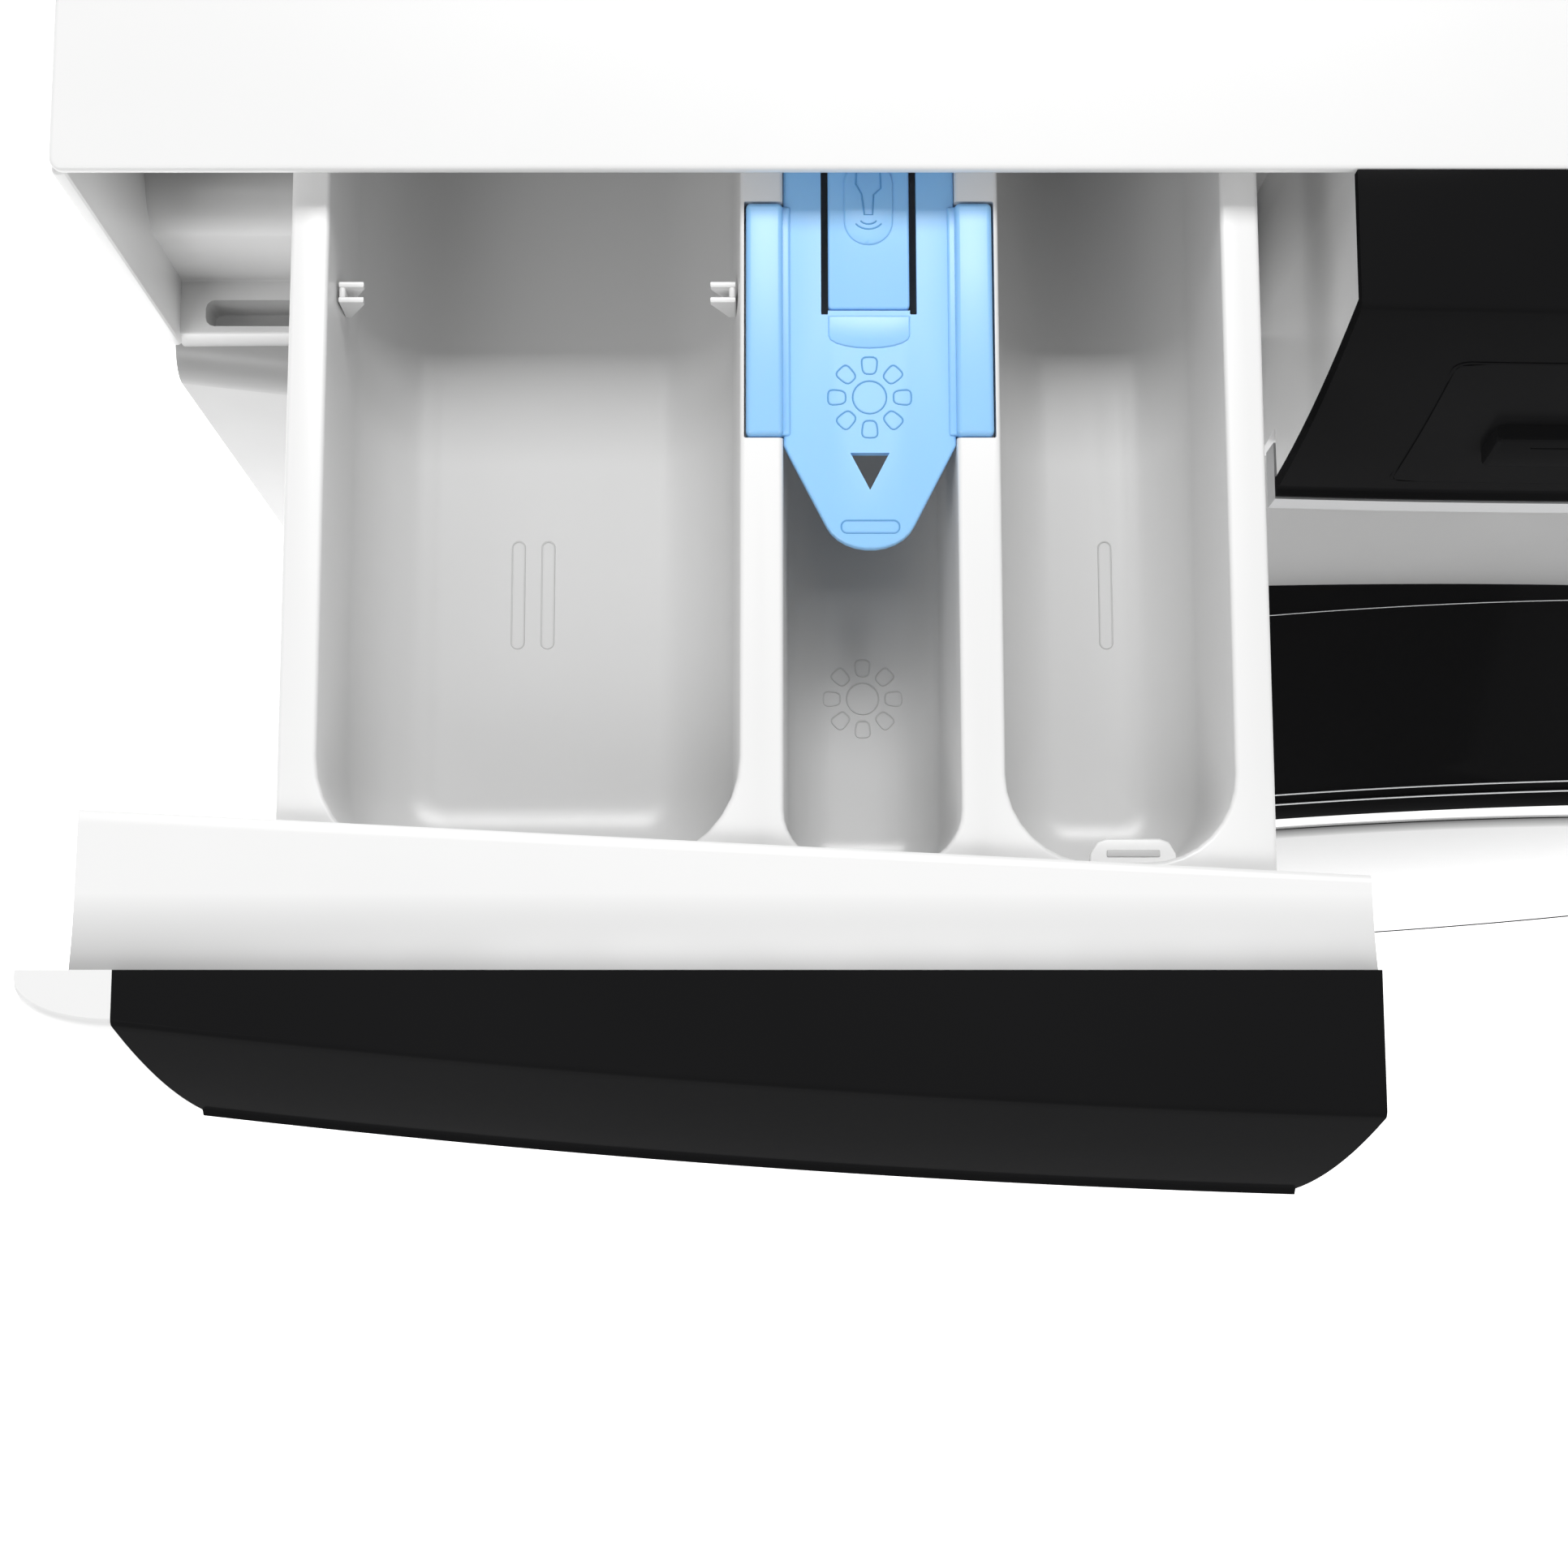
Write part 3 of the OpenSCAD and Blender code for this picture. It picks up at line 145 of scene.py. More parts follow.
class WasherColours(bpy.types.PropertyGroup):
    """Colours of the machine's finishes."""

    white: colour_choice("White", "Moulded and painted white", (0.83, 0.83, 0.828))
    black: colour_choice("Black", "Glossy black fascias and door", (0.0098, 0.0098, 0.0102))
    blue: colour_choice("Blue", "Softener insert", (0.30, 0.60, 0.96))
    grey: colour_choice("Grey", "Trims", (0.46, 0.465, 0.47))


def shape():
    """The sizes that are set for this scene."""
    return bpy.context.scene.washer_shape


def colours():
    """The colours that are set for this scene."""
    return bpy.context.scene.washer_colours


# ---- The front's curve ----


def ridge_at(x):
    """How far the ridge stands in front of the worktop's edge: the height of a circle's arc at x."""
    s = shape()
    return s.ridge - s.bulge_radius + np.sqrt(s.bulge_radius**2 - np.asarray(x, float) ** 2)


def lean_at(d):
    """How much further forward the front is d below the worktop: a slope that fades, a parabola."""
    d = np.asarray(d, float)
    return shape().lean * d - shape().lean_fade * d * d


def panel_at(x):
    """How far the lower front panel stands forward at x: an arc that shares the front's centre."""
    s = shape()
    r = s.bulge_radius - s.ridge + s.panel
    return np.sqrt(r * r - np.asarray(x, float) ** 2) - s.bulge_radius + s.ridge


# ---- Surfaces ----


class Skin:
    """Points and faces of a piece, gathered surface by surface, in millimetres of the shut layout."""

    def __init__(self):
        self.points, self.faces, self.count = [], [], 0

    def add(self, points, faces):
        """Adds points and the faces between them, numbered from the first of these points."""
        points = np.asarray(points, float).reshape(-1, 3)
        self.points.append(points)
        self.faces += [tuple(int(i) + self.count for i in f) for f in faces]
        self.count += len(points)
        return self

    def grid(self, points, around=False, along=False, ends=False):
        """A surface of two parameters: points[i][j] joined to its neighbours, wrapped round j (around)
        and i (along), with its first and last rows filled (ends)."""
        nu, nv = points.shape[:2]
        i = np.arange(nu if along else nu - 1)[:, None]
        j = np.arange(nv if around else nv - 1)[None, :]
        i2, j2 = (i + 1) % nu, (j + 1) % nv
        quads = np.stack([i * nv + j, i2 * nv + j, i2 * nv + j2, i * nv + j2], -1)
        faces = quads.reshape(-1, 4).tolist()
        if ends:
            faces += [tuple(range(nv - 1, -1, -1)), tuple(range((nu - 1) * nv, nu * nv))]
        return self.add(points, faces)


def arc(start, stop, n):
    """Cosines and sines of n + 1 equal steps from one angle to another, in degrees."""
    a = np.radians(np.linspace(start, stop, n + 1))
    return np.cos(a), np.sin(a)


def loop(x0, x1, y0, y1, r, n=8, extra=()):
    """A rounded rectangle seen from above: four quarter arcs, with extra points on its two long sides."""
    r = max(r, 0.0)
    out = []
    corners = ((x1 - r, y1 - r, 0), (x0 + r, y1 - r, 90), (x0 + r, y0 + r, 180), (x1 - r, y0 + r, 270))
    for k, (cx, cy, a) in enumerate(corners):
        c, s = arc(a, a + 90, n)
        out.append(np.stack([cx + r * c, cy + r * s], -1))
        if k in (0, 2) and len(extra):
            xs = sorted(extra, reverse=k == 0)
            out.append(np.array([[x, y1 if k == 0 else y0] for x in xs], float))
    return np.concatenate(out)


def at_height(flat, z):
    """A flat outline lifted to one height."""
    return np.column_stack([flat, np.full(len(flat), z)])


def layers(rect, r, levels, n=8, extra=()):
    """Rounded rectangles one above another: each level has an inset from the outline and a height."""
    x0, x1, y0, y1 = rect
    return np.array([
        at_height(loop(x0 + inset, x1 - inset, y0 + inset, y1 - inset, r - inset, n, extra), z)
        for inset, z in levels
    ])


def post(skin, x, y, levels, around=40):
    """An upright turned post: each level is a circle, given by its radius and its height."""
    a = np.linspace(0, 2 * math.pi, around, endpoint=False)
    rows = [at_height(np.column_stack([x + r * np.cos(a), y + r * np.sin(a)]), z) for r, z in levels]
    return skin.grid(np.array(rows), around=True, ends=True)


def crosswise(skin, x, y, z):
    """A closed section repeated at every x. y has a row for each x; z has the same, or one row for all."""
    rows = np.stack([np.broadcast_to(x[:, None], y.shape), y, np.broadcast_to(z, y.shape)], -1)
    return skin.grid(rows, around=True, ends=True)


def eased(t):
    """A share from 0 to 1 that starts and ends level: three t squared less two t cubed."""
    t = np.clip(t, 0, 1)
    return t * t * (3 - 2 * t)


def rounded(z0, z1, e, n=3):
    """Levels of a slab from z0 to z1 whose upper and lower edges are quarter rounds of radius e."""
    c, s = arc(0, 90, n)
    low = [(e * (1 - si), z0 + e * (1 - co)) for co, si in zip(c, s)]
    high = [(e * (1 - co), z1 - e * (1 - si)) for co, si in zip(c, s)]
    return low + high


def block(skin, a, b, e=0.6, r=None, axis=2, n=3):
    """A box from a to b with every edge rounded by e; its corners seen along the axis are rounded by r."""
    order = {0: (1, 2, 0), 1: (0, 2, 1), 2: (0, 1, 2)}[axis]
    (x0, y0, z0), (x1, y1, z1) = ([p[k] for k in order] for p in (a, b))
    e = min(e, 0.45 * min(x1 - x0, y1 - y0, z1 - z0))
    part = Skin()
    rows = layers((x0, x1, y0, y1), e if r is None else r, rounded(z0, z1, e, n), max(n, 3))
    part.grid(rows, around=True, ends=True)
    back = np.argsort(order)
    return skin.add(part.points[0][:, back], part.faces)


def turned(skin, profile, centre, around=96, closed=True, rake=0.0):
    """A profile of radius and distance forward, turned about a fore and aft line through the centre. The
    rake, in degrees, swings all of it about the upright line through the centre."""
    profile = np.asarray(profile, float)
    a = np.linspace(0, 2 * math.pi, around, endpoint=False)
    r, f = profile[:, 0][:, None], profile[:, 1][:, None]
    x, z, y = r * np.cos(a), r * np.sin(a), -f + 0 * a
    if rake:
        t = math.radians(rake)
        x, y = x * math.cos(t) - y * math.sin(t), x * math.sin(t) + y * math.cos(t)
    return skin.grid(np.stack([x + centre[0], y + centre[1], z + centre[2]], -1), around=True, along=closed)


def tube(skin, path, r, sides=8, closed=False, up=(0, 0, 1)):
    """A round section carried along a path, square to it at every point."""
    path = np.asarray(path, float)
    if closed:
        t = np.roll(path, -1, 0) - np.roll(path, 1, 0)
    else:
        t = np.gradient(path, axis=0)
    t /= np.linalg.norm(t, axis=1)[:, None]
    a = np.cross(t, np.asarray(up, float))
    a /= np.maximum(np.linalg.norm(a, axis=1), 1e-9)[:, None]
    b = np.cross(t, a)
    k = np.linspace(0, 2 * math.pi, sides, endpoint=False)
    ring = np.cos(k)[None, :, None] * a[:, None] + np.sin(k)[None, :, None] * b[:, None]
    r = np.broadcast_to(np.asarray(r, float), len(path))[:, None, None]
    return skin.grid(path[:, None] + r * ring, around=True, along=closed, ends=not closed)


def plate(skin, outline, z0, z1, e=0.5, n=3):
    """A flat plate of any outline with its edges rounded: each level is the outline moved inwards."""
    outline = np.asarray(outline, float)
    ahead, behind = np.roll(outline, -1, 0) - outline, outline - np.roll(outline, 1, 0)
    normal = []
    for v in (ahead, behind):
        v = v / np.maximum(np.linalg.norm(v, axis=1), 1e-9)[:, None]
        normal.append(np.column_stack([-v[:, 1], v[:, 0]]))
    inward = normal[0] + normal[1]
    inward /= np.maximum((inward * normal[0]).sum(1), 0.3)[:, None]
    area = outline[:, 0] * np.roll(outline[:, 1], -1) - outline[:, 1] * np.roll(outline[:, 0], -1)
    if np.sum(area) < 0:
        inward = -inward
    rows = [at_height(outline + inset * inward, z) for inset, z in rounded(z0, z1, e, n)]
    return skin.grid(np.array(rows), around=True, ends=True)


def front_sweep(skin, section, xs):
    """A closed section carried along the machine's curved front. Each point of the section says how much
    of the front's curve it follows (0 or 1), its own y, and its depth d below the worktop."""
    follow, own, d = (np.array(c, float) for c in zip(*section))
    x = np.asarray(xs, float)
    return crosswise(skin, x, -follow * (ridge_at(x[:, None]) + lean_at(d)) + own, TOP - d)


def on_front(x, d, out):
    """Points x across and d below the worktop, laid on the leaning front and moved forward from it."""
    return np.stack([x, -(ridge_at(x) + lean_at(d)) - out, TOP - d], -1)


def piece(name, skin, body, slot, finish, stands_for=(), drawer=False, sharp=32, cutters=()):
    """Makes the object: welds the skin, turns its faces outwards, cuts it, and puts it in its place."""
    points = np.concatenate(skin.points) + [0, EDGE_Y - (TRAVEL if drawer else 0), 0]
    mesh = bpy.data.meshes.new(name)
    mesh.from_pydata((points * MM).tolist(), [], skin.faces)
    work = bmesh.new()
    work.from_mesh(mesh)
    bmesh.ops.remove_doubles(work, verts=work.verts, dist=2e-6)
    bmesh.ops.dissolve_degenerate(work, edges=work.edges, dist=1e-6)
    bmesh.ops.recalc_face_normals(work, faces=work.faces)
    work.to_mesh(mesh)
    work.free()
    obj = bpy.data.objects.new(name, mesh)
    bpy.context.scene.collection.objects.link(obj)
    for cutter in cutters:
        tool = piece(name + "_cutter", cutter, body, slot, finish, drawer=drawer)
        modifier = obj.modifiers.new("Cut", "BOOLEAN")
        modifier.object, modifier.operation, modifier.solver = tool, "DIFFERENCE", "EXACT"
        bpy.context.view_layer.update()
        cut = bpy.data.meshes.new_from_object(obj.evaluated_get(bpy.context.evaluated_depsgraph_get()))
        obj.modifiers.clear()
        obj.data = cut
        bpy.data.objects.remove(tool)
    obj.data.name = name
    obj.data.polygons.foreach_set("use_smooth", np.ones(len(obj.data.polygons), bool))
    obj.data.set_sharp_from_angle(angle=math.radians(sharp))
    obj.data.materials.clear()
    obj.data.materials.append(finish)
    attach(obj, body)
    if stands_for:
        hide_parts(*stands_for)
    return obj


# ---- Finishes ----


def node(tree, kind, **values):
    """A new shader node with the values of its inputs, or of its own settings where no input has the name."""
    made = tree.nodes.new(kind)
    for key, value in values.items():
        if key in made.inputs:
            made.inputs[key].default_value = value
        else:
            setattr(made, key, value)
    return made


def finish(name, colour, roughness, mottle=0.03, mottle_scale=9.0, grain=900.0, depth=0.00001, spread=0.05,
           stretch=(1, 1, 1), **fixed):
    """A procedural finish on Object coordinates: a base colour that drifts slightly in broad patches,
    a roughness that varies with wear, and a fine grain that lifts the surface."""
    made = bpy.data.materials.get(name)
    if made:
        return made
    made = bpy.data.materials.new(name)
    made.use_nodes = True
    tree = made.node_tree
    tree.nodes.clear()
    out = node(tree, "ShaderNodeOutputMaterial")
    shader = node(tree, "ShaderNodeBsdfPrincipled")
    for key, value in fixed.items():
        shader.inputs[key.replace("_", " ")].default_value = value
    tree.links.new(shader.outputs[0], out.inputs["Surface"])
    place = node(tree, "ShaderNodeTexCoord")
    turn = node(tree, "ShaderNodeMapping")
    turn.inputs["Scale"].default_value = stretch
    tree.links.new(place.outputs["Object"], turn.inputs["Vector"])
    broad = node(tree, "ShaderNodeTexNoise", Scale=mottle_scale, Detail=4.0, Roughness=0.55)
    fine = node(tree, "ShaderNodeTexNoise", Scale=grain, Detail=3.0, Roughness=0.6)
    for n in (broad, fine):
        tree.links.new(turn.outputs[0], n.inputs["Vector"])
    ramp = node(tree, "ShaderNodeValToRGB")
    low = [max(0.0, c * (1 - mottle)) for c in colour[:3]]
    high = [min(1.0, c * (1 + mottle)) for c in colour[:3]]
    ramp.color_ramp.elements[0].position, ramp.color_ramp.elements[1].position = 0.3, 0.7
    ramp.color_ramp.elements[0].color, ramp.color_ramp.elements[1].color = (*low, 1), (*high, 1)
    tree.links.new(broad.outputs["Fac"], ramp.inputs["Fac"])
    tree.links.new(ramp.outputs["Color"], shader.inputs["Base Color"])
    wear = node(tree, "ShaderNodeMapRange")
    wear.inputs["To Min"].default_value = max(0.02, roughness - spread)
    wear.inputs["To Max"].default_value = min(1.0, roughness + spread)
    patches = node(tree, "ShaderNodeTexNoise", Scale=mottle_scale * 5, Detail=5.0, Roughness=0.6)
    tree.links.new(turn.outputs[0], patches.inputs["Vector"])
    tree.links.new(patches.outputs["Fac"], wear.inputs["Value"])
    tree.links.new(wear.outputs["Result"], shader.inputs["Roughness"])
    bump = node(tree, "ShaderNodeBump", Strength=0.5, Distance=depth)
    tree.links.new(fine.outputs["Fac"], bump.inputs["Height"])
    tree.links.new(bump.outputs["Normal"], shader.inputs["Normal"])
    return made


def white_plastic():
    """Moulded white plastic with a faint sheen."""
    return finish("white_moulded_plastic", colours().white, 0.30, mottle=0.008, grain=1400.0,
                  depth=0.000006, IOR=1.5)


def white_with_painted_shade(name, axis, start, end, first, last):
    """White plastic with painted shade that greys it along one axis: its colour is multiplied by a share that
    runs evenly from first at the start to last at the end (millimetres in the shared frame)."""
    made = finish(name, colours().white, 0.30, mottle=0.008, grain=1400.0, depth=0.000006)
    tree = made.node_tree
    if "Shade" in tree.nodes:
        return made
    shader = next(n for n in tree.nodes if n.type == "BSDF_PRINCIPLED")
    colour = shader.inputs["Base Color"].links[0].from_socket
    place = next(n for n in tree.nodes if n.type == "TEX_COORD")
    split = node(tree, "ShaderNodeSeparateXYZ")
    tree.links.new(place.outputs["Object"], split.inputs[0])
    reach = node(tree, "ShaderNodeMapRange")
    limits = {"From Min": start * MM, "From Max": end * MM, "To Min": first, "To Max": last}
    for key, value in limits.items():
        reach.inputs[key].default_value = value
    tree.links.new(split.outputs[axis], reach.inputs["Value"])
    # Multiplies the painted shade into the base colour
    shade = node(tree, "ShaderNodeMix", data_type="RGBA", blend_type="MULTIPLY")
    shade.name = "Shade"
    shade.inputs[0].default_value = 1.0
    tree.links.new(colour, shade.inputs[6])
    tree.links.new(reach.outputs["Result"], shade.inputs[7])
    tree.links.new(shade.outputs[2], shader.inputs["Base Color"])
    return made


def tray_painted_shade():
    """The tray's white, with painted shade that greys it towards the floors of its wells."""
    return white_with_painted_shade("tray_plastic_with_painted_shade", "Z", TRAY_HIGH[2] - 42, TRAY_HIGH[2] - 2, 0.72, 1.0)


def cap_painted_shade():
    """The drawer cap's white, with painted shade that greys it towards the fascia."""
    return white_with_painted_shade("cap_plastic_with_painted_shade", "Y", EDGE_Y - TRAVEL - 0.5, EDGE_Y - TRAVEL + 12.5, 0.46, 1.0)


def front_painted_shadow():
    """The lower front's enamel, with a painted shadow that greys it towards the top, under the fascias."""
    return white_with_painted_shade("front_enamel_with_painted_shadow", "Z", TOP - 300, TOP - 112, 1.0, 0.52)


def surround_painted_shade():
    """The surround's white, with painted shade that greys it towards the back of the drawer bay."""
    return white_with_painted_shade("surround_plastic_with_painted_shade", "Y", EDGE_Y + 2, EDGE_Y + 22, 1.0, 0.55)


def white_paint():
    """Stove enamel on steel sheet, under a thin clear coat."""
    return finish("white_stove_enamel", colours().white, 0.34, mottle=0.008, grain=420.0, depth=0.00001,
                  Coat_Weight=0.25, Coat_Roughness=0.12)


def gloss_black():
    """Black moulding whose gloss comes from a very thin coat."""
    return finish("gloss_black_moulding", colours().black, 0.24, mottle=0.14, mottle_scale=6.0,
                  grain=1100.0, depth=0.000002, Specular_IOR_Level=0.0, Coat_Weight=0.016,
                  Coat_Roughness=0.09)


def film_black():
    """Black printed film, a little duller than the fascia."""
    return finish("black_inlay_film", colours().black, 0.32, mottle=0.1, grain=2000.0, depth=0.000003,
                  Specular_IOR_Level=0.0, Coat_Weight=0.02, Coat_Roughness=0.2)


def dark_glass():
    """Black glass with a full clear coat."""
    return finish("dark_door_glass", colours().black, 0.05, mottle=0.05, grain=300.0, depth=0.000001,
                  spread=0.015, Coat_Weight=1.0, Coat_Roughness=0.02)


def mark_white():
    """Outlines moulded into the white tray."""
    return finish("moulded_mark", tuple(0.66 * c for c in colours().white), 0.4, mottle=0.02)


def mark_blue():
    """Outlines moulded into the blue insert."""
    return finish("moulded_blue_mark", (0.13, 0.36, 0.66), 0.4, mottle=0.02)


def trim_grey():
    """Satin grey lacquer with some metal in it."""
    return finish("satin_grey_trim", colours().grey, 0.33, mottle=0.03, grain=1600.0, depth=0.000004,
                  Metallic=0.25)


def silver():
    """Bright silver lacquer."""
    return finish("silver_trim", (0.62, 0.63, 0.64), 0.22, mottle=0.03, grain=1500.0, depth=0.000003,
                  Metallic=0.9)


def insert_blue():
    """Pale blue plastic that lets a little light in."""
    return finish("pale_blue_plastic", colours().blue, 0.32, mottle=0.015, grain=1300.0, depth=0.000006,
                  Subsurface_Weight=0.08, Subsurface_Scale=0.002)


def brushed_steel():
    """Stainless steel whose grain is drawn out from front to back."""
    return finish("brushed_steel", (0.56, 0.565, 0.57), 0.28, mottle=0.06, grain=260.0, depth=0.000012,
                  spread=0.08, stretch=(1, 0.04, 1), Metallic=1.0)


def cast_aluminium():
    """Dull cast aluminium."""
    return finish("cast_aluminium", (0.58, 0.585, 0.59), 0.42, mottle=0.07, grain=500.0, depth=0.00003,
                  spread=0.1, Metallic=0.95)


def cast_iron():
    """Rough dark paint on cast iron."""
    return finish("painted_cast_iron", (0.20, 0.195, 0.19), 0.72, mottle=0.18, mottle_scale=25.0, grain=260.0,
                  depth=0.0002, spread=0.12)


def grey_rubber():
    """Grey rubber of the door gasket."""
    return finish("grey_rubber", (0.13, 0.135, 0.14), 0.62, mottle=0.06, grain=700.0, depth=0.00003,
                  spread=0.1)


def black_rubber():
    """Black rubber of hoses, belt and feet."""
    return finish("black_rubber", (0.025, 0.025, 0.026), 0.66, mottle=0.12, grain=600.0, depth=0.00004,
                  spread=0.1)


def grey_plastic():
    """Fibre-filled grey plastic of the tub."""
    return finish("grey_moulded_plastic", (0.42, 0.43, 0.44), 0.5, mottle=0.04, grain=520.0, depth=0.00002,
                  spread=0.08)


def circuit_board():
    """Green board with small dark and light patches."""
    return finish("circuit_board", (0.02, 0.16, 0.06), 0.4, mottle=0.25, mottle_scale=120.0, grain=300.0,
                  depth=0.00005)


def door_glass():
    """Clear glass of the door's bowl."""
    return finish("clear_glass", (0.93, 0.96, 0.965), 0.04, mottle=0.01, grain=60.0, depth=0.00001,
                  spread=0.015, Transmission_Weight=1.0, IOR=1.5)


FINISHES = {
    "white_steel": white_paint, "white_plastic": white_plastic, "black_gloss": gloss_black,
    "light_grey": trim_grey,
    "plastic_grey": grey_plastic, "blue_plastic": insert_blue, "steel": brushed_steel, "silver": silver,
    "rubber": grey_rubber, "black_rubber": black_rubber, "iron": cast_iron, "aluminium": cast_aluminium,
    "board": circuit_board, "clear_glass": door_glass,
}


# ---- Drawer ----

WELL_Y0, WELL_Y1 = TRAY_Y + 7.2, TRAY_Y + 259.0
FLOOR_Z = TRAY_LOW[2] + 5.0
RIM, DIVIDER = 6.7, 7.5
MAIN = (TRAY_LOW[0] + RIM, TRAY_LOW[0] + RIM + 71.7)
SOFTENER = (MAIN[1] + DIVIDER, MAIN[1] + DIVIDER + 30.1)
PREWASH = (SOFTENER[1] + DIVIDER, TRAY_HIGH[0] - RIM)
SOFTENER_X = sum(SOFTENER) / 2
WING_W, WING_Y0, WING_Y1 = 6.4, TRAVEL - 44.7, TRAVEL - 2.8


def well(skin, xs, corner, fillet, lip, cell):
    """One well: its mouth is rounded over by the lip, its walls lean in a little, and a quarter round of
    the fillet's radius leads them into the floor. The rim around it is filled out to its cell."""
    lean, bottom, shoulder = 1.2, FLOOR_Z + fillet, TRAY_HIGH[2] - lip
    c, s = arc(0, 90, 4)
    levels = [(lip * si, TRAY_HIGH[2] - lip * (1 - co)) for co, si in zip(c, s)]
    levels += [(lip + lean * k, shoulder - (shoulder - bottom) * k) for k in (0.33, 0.66, 1.0)]
    c, s = arc(0, 90, 10)
    levels += [(lip + lean + fillet * (1 - co), bottom - fillet * si) for co, si in zip(c[1:], s[1:])]
    x0, x1, y0, y1 = xs[0] - lip, xs[1] + lip, WELL_Y0 - lip, WELL_Y1 + lip
    rows = [at_height(loop(*cell, 0.0), TRAY_HIGH[2])]
    for inset, z in levels:
        r = max(corner + lip - inset, 1.2)
        rows.append(at_height(loop(x0 + inset, x1 - inset, y0 + inset, y1 - inset, r), z))
    rows = np.array(rows)
    skin.grid(rows, around=True)
    return skin.add(rows[-1], [tuple(range(rows.shape[1]))])


def stadium(cx, cy, w, h, n=8):
    """Outline of a slot with round ends, w wide and h long."""
    return loop(cx - w / 2, cx + w / 2, cy - h / 2, cy + h / 2, w / 2, n)


def flower(skin, cx, cy, z, r, line):
    """Eight petals round a ring: each petal is a rounded wedge whose outline is a raised line."""
    a = np.linspace(0, 2 * math.pi, 32, endpoint=False)
    ring = np.column_stack([cx + 0.4 * r * np.cos(a), cy + 0.4 * r * np.sin(a)])
    tube(skin, at_height(ring, z), line, sides=5, closed=True)
    t = np.linspace(0, 2 * math.pi, 20, endpoint=False)
    along = 0.78 * r + 0.21 * r * np.sign(np.cos(t)) * np.abs(np.cos(t)) ** 0.6
    across = (0.10 + 0.10 * along / r) * r * np.sign(np.sin(t)) * np.abs(np.sin(t)) ** 0.6
    for k in range(8):
        u = k * math.pi / 4
        x = cx + along * math.cos(u) - across * math.sin(u)
        y = cy + along * math.sin(u) + across * math.cos(u)
        tube(skin, np.column_stack([x, y, np.full(20, z)]), line, sides=5, closed=True)


class WASHER_OT_tray(bpy.types.Operator):
    """Detergent tray: three filleted wells in one moulding, with clips, level marks and symbols."""

    bl_idname = "washer.tray"
    bl_label = "Detergent tray"

    def execute(self, context):
        e = shape().edge
        skin = Skin()
        x0, x1, z0, z1 = TRAY_LOW[0], TRAY_HIGH[0], TRAY_LOW[2], TRAY_HIGH[2]
        y0, y1 = TRAY_Y, TRAY_Y + TRAY_HIGH[1] - TRAY_LOW[1]
        split = [(MAIN[1] + SOFTENER[0]) / 2, (SOFTENER[1] + PREWASH[0]) / 2]
        c, s = arc(0, 90, 3)
        levels = [(1.0, z0), (0.0, z0 + 1.0)] + [(e * (1 - co), z1 - e * (1 - si)) for co, si in zip(c, s)]
        rows = layers((x0, x1, y0, y1), e, levels, extra=split)
        skin.grid(rows, around=True)
        skin.add(rows[0], [tuple(range(len(rows[0])))])
        edges = [x0 + e, *split, x1 - e]
        for xs, corner, fillet, cell in zip(
            (MAIN, SOFTENER, PREWASH), (18.0, 9.0, 15.0), (14.0, 7.5, 11.0), zip(edges, edges[1:])
        ):
            well(skin, xs, corner, fillet, e, (*cell, y0 + e, y1 - e))
        seats = []
        for left in (SOFTENER[0] - WING_W - 0.35, SOFTENER[1] - 0.9):
            seat = Skin()
            block(seat, (left, WING_Y0 - 0.35, z1 - 5), (left + WING_W + 1.25, WING_Y1 + 0.35, z1 + 3), 0.3)
            seats.append(seat)
        # The tray's finish carries painted shade, greyer towards the floors of its wells
        piece("tray", skin, "drawer", "white_plastic", tray_painted_shade(), ["drawer_tray"], drawer=True,
              cutters=seats)

        marks = Skin()
        open_y = TRAVEL - 64.3
        for x in (MAIN[0] + 30.5, MAIN[0] + 36.0, PREWASH[0] + 22.6):
            tube(marks, at_height(stadium(x, open_y, 2.3, 20.2), FLOOR_Z), 0.17, sides=5, closed=True)
        flower(marks, SOFTENER_X, TRAVEL - 83.8, FLOOR_Z, 7.3, 0.17)
        bar = sum(PREWASH) / 2 + 3.4
        block(marks, (bar - 4.6, WELL_Y0 + 2.2, z1 - 11.6), (bar + 4.6, WELL_Y0 + 3.4, z1 - 11.1), 0.2)
        piece("tray_marks", marks, "drawer", "white_plastic", mark_white(), drawer=True)
        # Two clips that hold a flap for liquids, one on each wall of the main well
        clips = Skin()
        for side, x in ((1, MAIN[0] + 0.8), (-1, MAIN[1] - 0.8)):
            for y in (TRAVEL - 14.6, TRAVEL - 17.4):
                reach = np.array([(0, -16.5), (1.2, -16.5), (4.4, -9), (4.4, -7.4), (0, -7.4)])
                flat = [(x + side * u, z1 + v) for u, v in reach]
                part = plate(Skin(), flat, y - 1.1, y, 0.3, 2)
                clips.add(part.points[0][:, [0, 2, 1]], part.faces)
            a, b = sorted((x, x + side * 1.1))
            block(clips, (a, TRAVEL - 17.6, z1 - 16), (b, TRAVEL - 14.7, z1 - 7.6), 0.4)
        # Level tab on the front wall of the prewash well, with a plain bar on it
        half_tab = [(7.6, 0), (7.4, 2.4), (6.2, 4.4), (4.6, 5.0)]
        tab = np.array([(-x, y) for x, y in half_tab] + half_tab[::-1])
        tab += [bar, WELL_Y0 + 0.4]
        plate(clips, tab[::-1], z1 - 13, z1 - 11.4, 0.4)
        piece("tray_clips", clips, "drawer", "white_plastic", white_plastic(), drawer=True)
        return {"FINISHED"}


